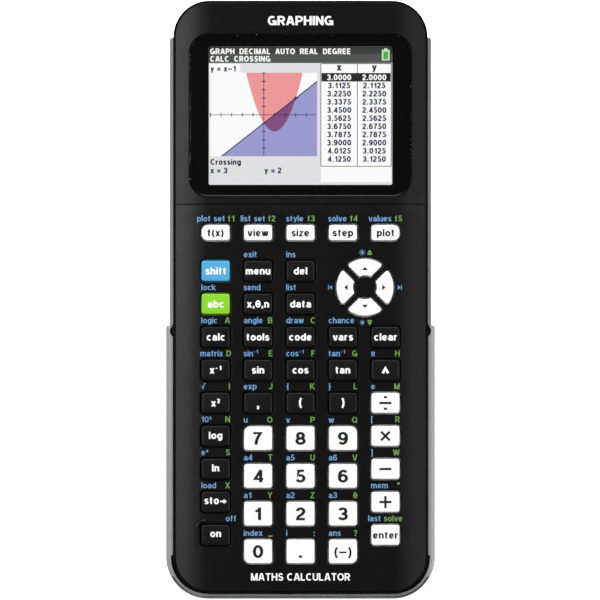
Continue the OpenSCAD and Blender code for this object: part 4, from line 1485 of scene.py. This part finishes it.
# ---------------------------------------------------------------- stage
# Lights as (name, place, size, power), all turned to the origin; lengths are in metres.
LIGHTS = [
    ("left_softbox", (-0.78, 0.26, 1.02), (0.7, 1.1), 13.5),
    ("right_softbox", (0.78, 0.12, 1.08), (1.0, 1.1), 5.6),
    ("far_softbox", (-0.05, 1.15, 0.85), (0.9, 0.6), 14.0),
    ("low_right_softbox", (1.5, -0.35, 0.5), (0.4, 1.2), 16.0),
]
WORLD_STRENGTH = 0.03
FLOOR_HALF_W, FLOOR_Z, FLOOR_GLOW = 1500, -0.02, 1.2
CAMERA_HEIGHT = 2.4
CAMERA_SHIFT = -0.16 * MM
SENSOR_W = 36
VIEW_MARGIN = 600 / 598  # how much more than the part's length the picture takes in
FOCUS_SHARE = 0.7  # height at which that holds, as a share of the part's


def studio():
    """Pale floor, soft lights and the camera straight above."""
    w, z = FLOOR_HALF_W, FLOOR_Z
    floor = Shell()
    floor.add([(-w, -w, z), (w, -w, z), (w, w, z), (-w, w, z)], [(0, 1, 2, 3)])
    glow = {"Emission_Color": (1, 1, 1), "Emission_Strength": FLOOR_GLOW}
    look = Look("floor_white", (0.92, 0.92, 0.92), 0.9, **glow)
    look.mottle(300, (0.9, 0.9, 0.9), 0.5)
    sheet = floor.build("floor", look.material)
    sheet.visible_glossy = False
    scene = bpy.context.scene
    for name, spot, size, power in LIGHTS:
        lamp = bpy.data.lights.new(name, "AREA")
        lamp.shape = "RECTANGLE"
        lamp.size, lamp.size_y = size
        lamp.energy = power
        holder = bpy.data.objects.new(name, lamp)
        holder.location = spot
        holder.rotation_euler = (-Vector(spot)).to_track_quat("-Z", "Y").to_euler()
        scene.collection.objects.link(holder)
    world = bpy.data.worlds.new("studio")
    world.use_nodes = True
    background = world.node_tree.nodes["Background"].inputs
    background["Color"].default_value = (1, 1, 1, 1)
    background["Strength"].default_value = WORLD_STRENGTH
    scene.world = world
    low, high = cad_box
    middle = (Vector(low) + Vector(high)) / 2
    view = bpy.data.cameras.new("photo_view")
    view.sensor_width = SENSOR_W
    view.lens = SENSOR_W * (CAMERA_HEIGHT - high[2] * FOCUS_SHARE) / ((high[1] - low[1]) * VIEW_MARGIN)
    camera = bpy.data.objects.new("photo_view", view)
    camera.location = (middle.x + CAMERA_SHIFT, middle.y, CAMERA_HEIGHT)
    scene.collection.objects.link(camera)
    scene.camera = camera
    scene.view_settings.view_transform = "Standard"


front_case_shell()
for key_name in key_names:
    keycap(key_name)
    if key_name in ARROW_NAMES:
        arrow_mark(key_name)
    else:
        key_legend(key_name)
case_labels()
heading()
lens()
screen()
cover()
dress("rear_case", BLACK_PLASTIC, 0.3)
dress("battery_cover", BLACK_PLASTIC, 0.2)
dress("circuit_board", board_material())
key_mat()
dress("battery", battery_wrap(), 0.3)
dress("screws", steel("screw_zinc", (190, 192, 196), 0.32))
dress("display_module", steel("display_frame", (186, 188, 190), 0.4))
studio()
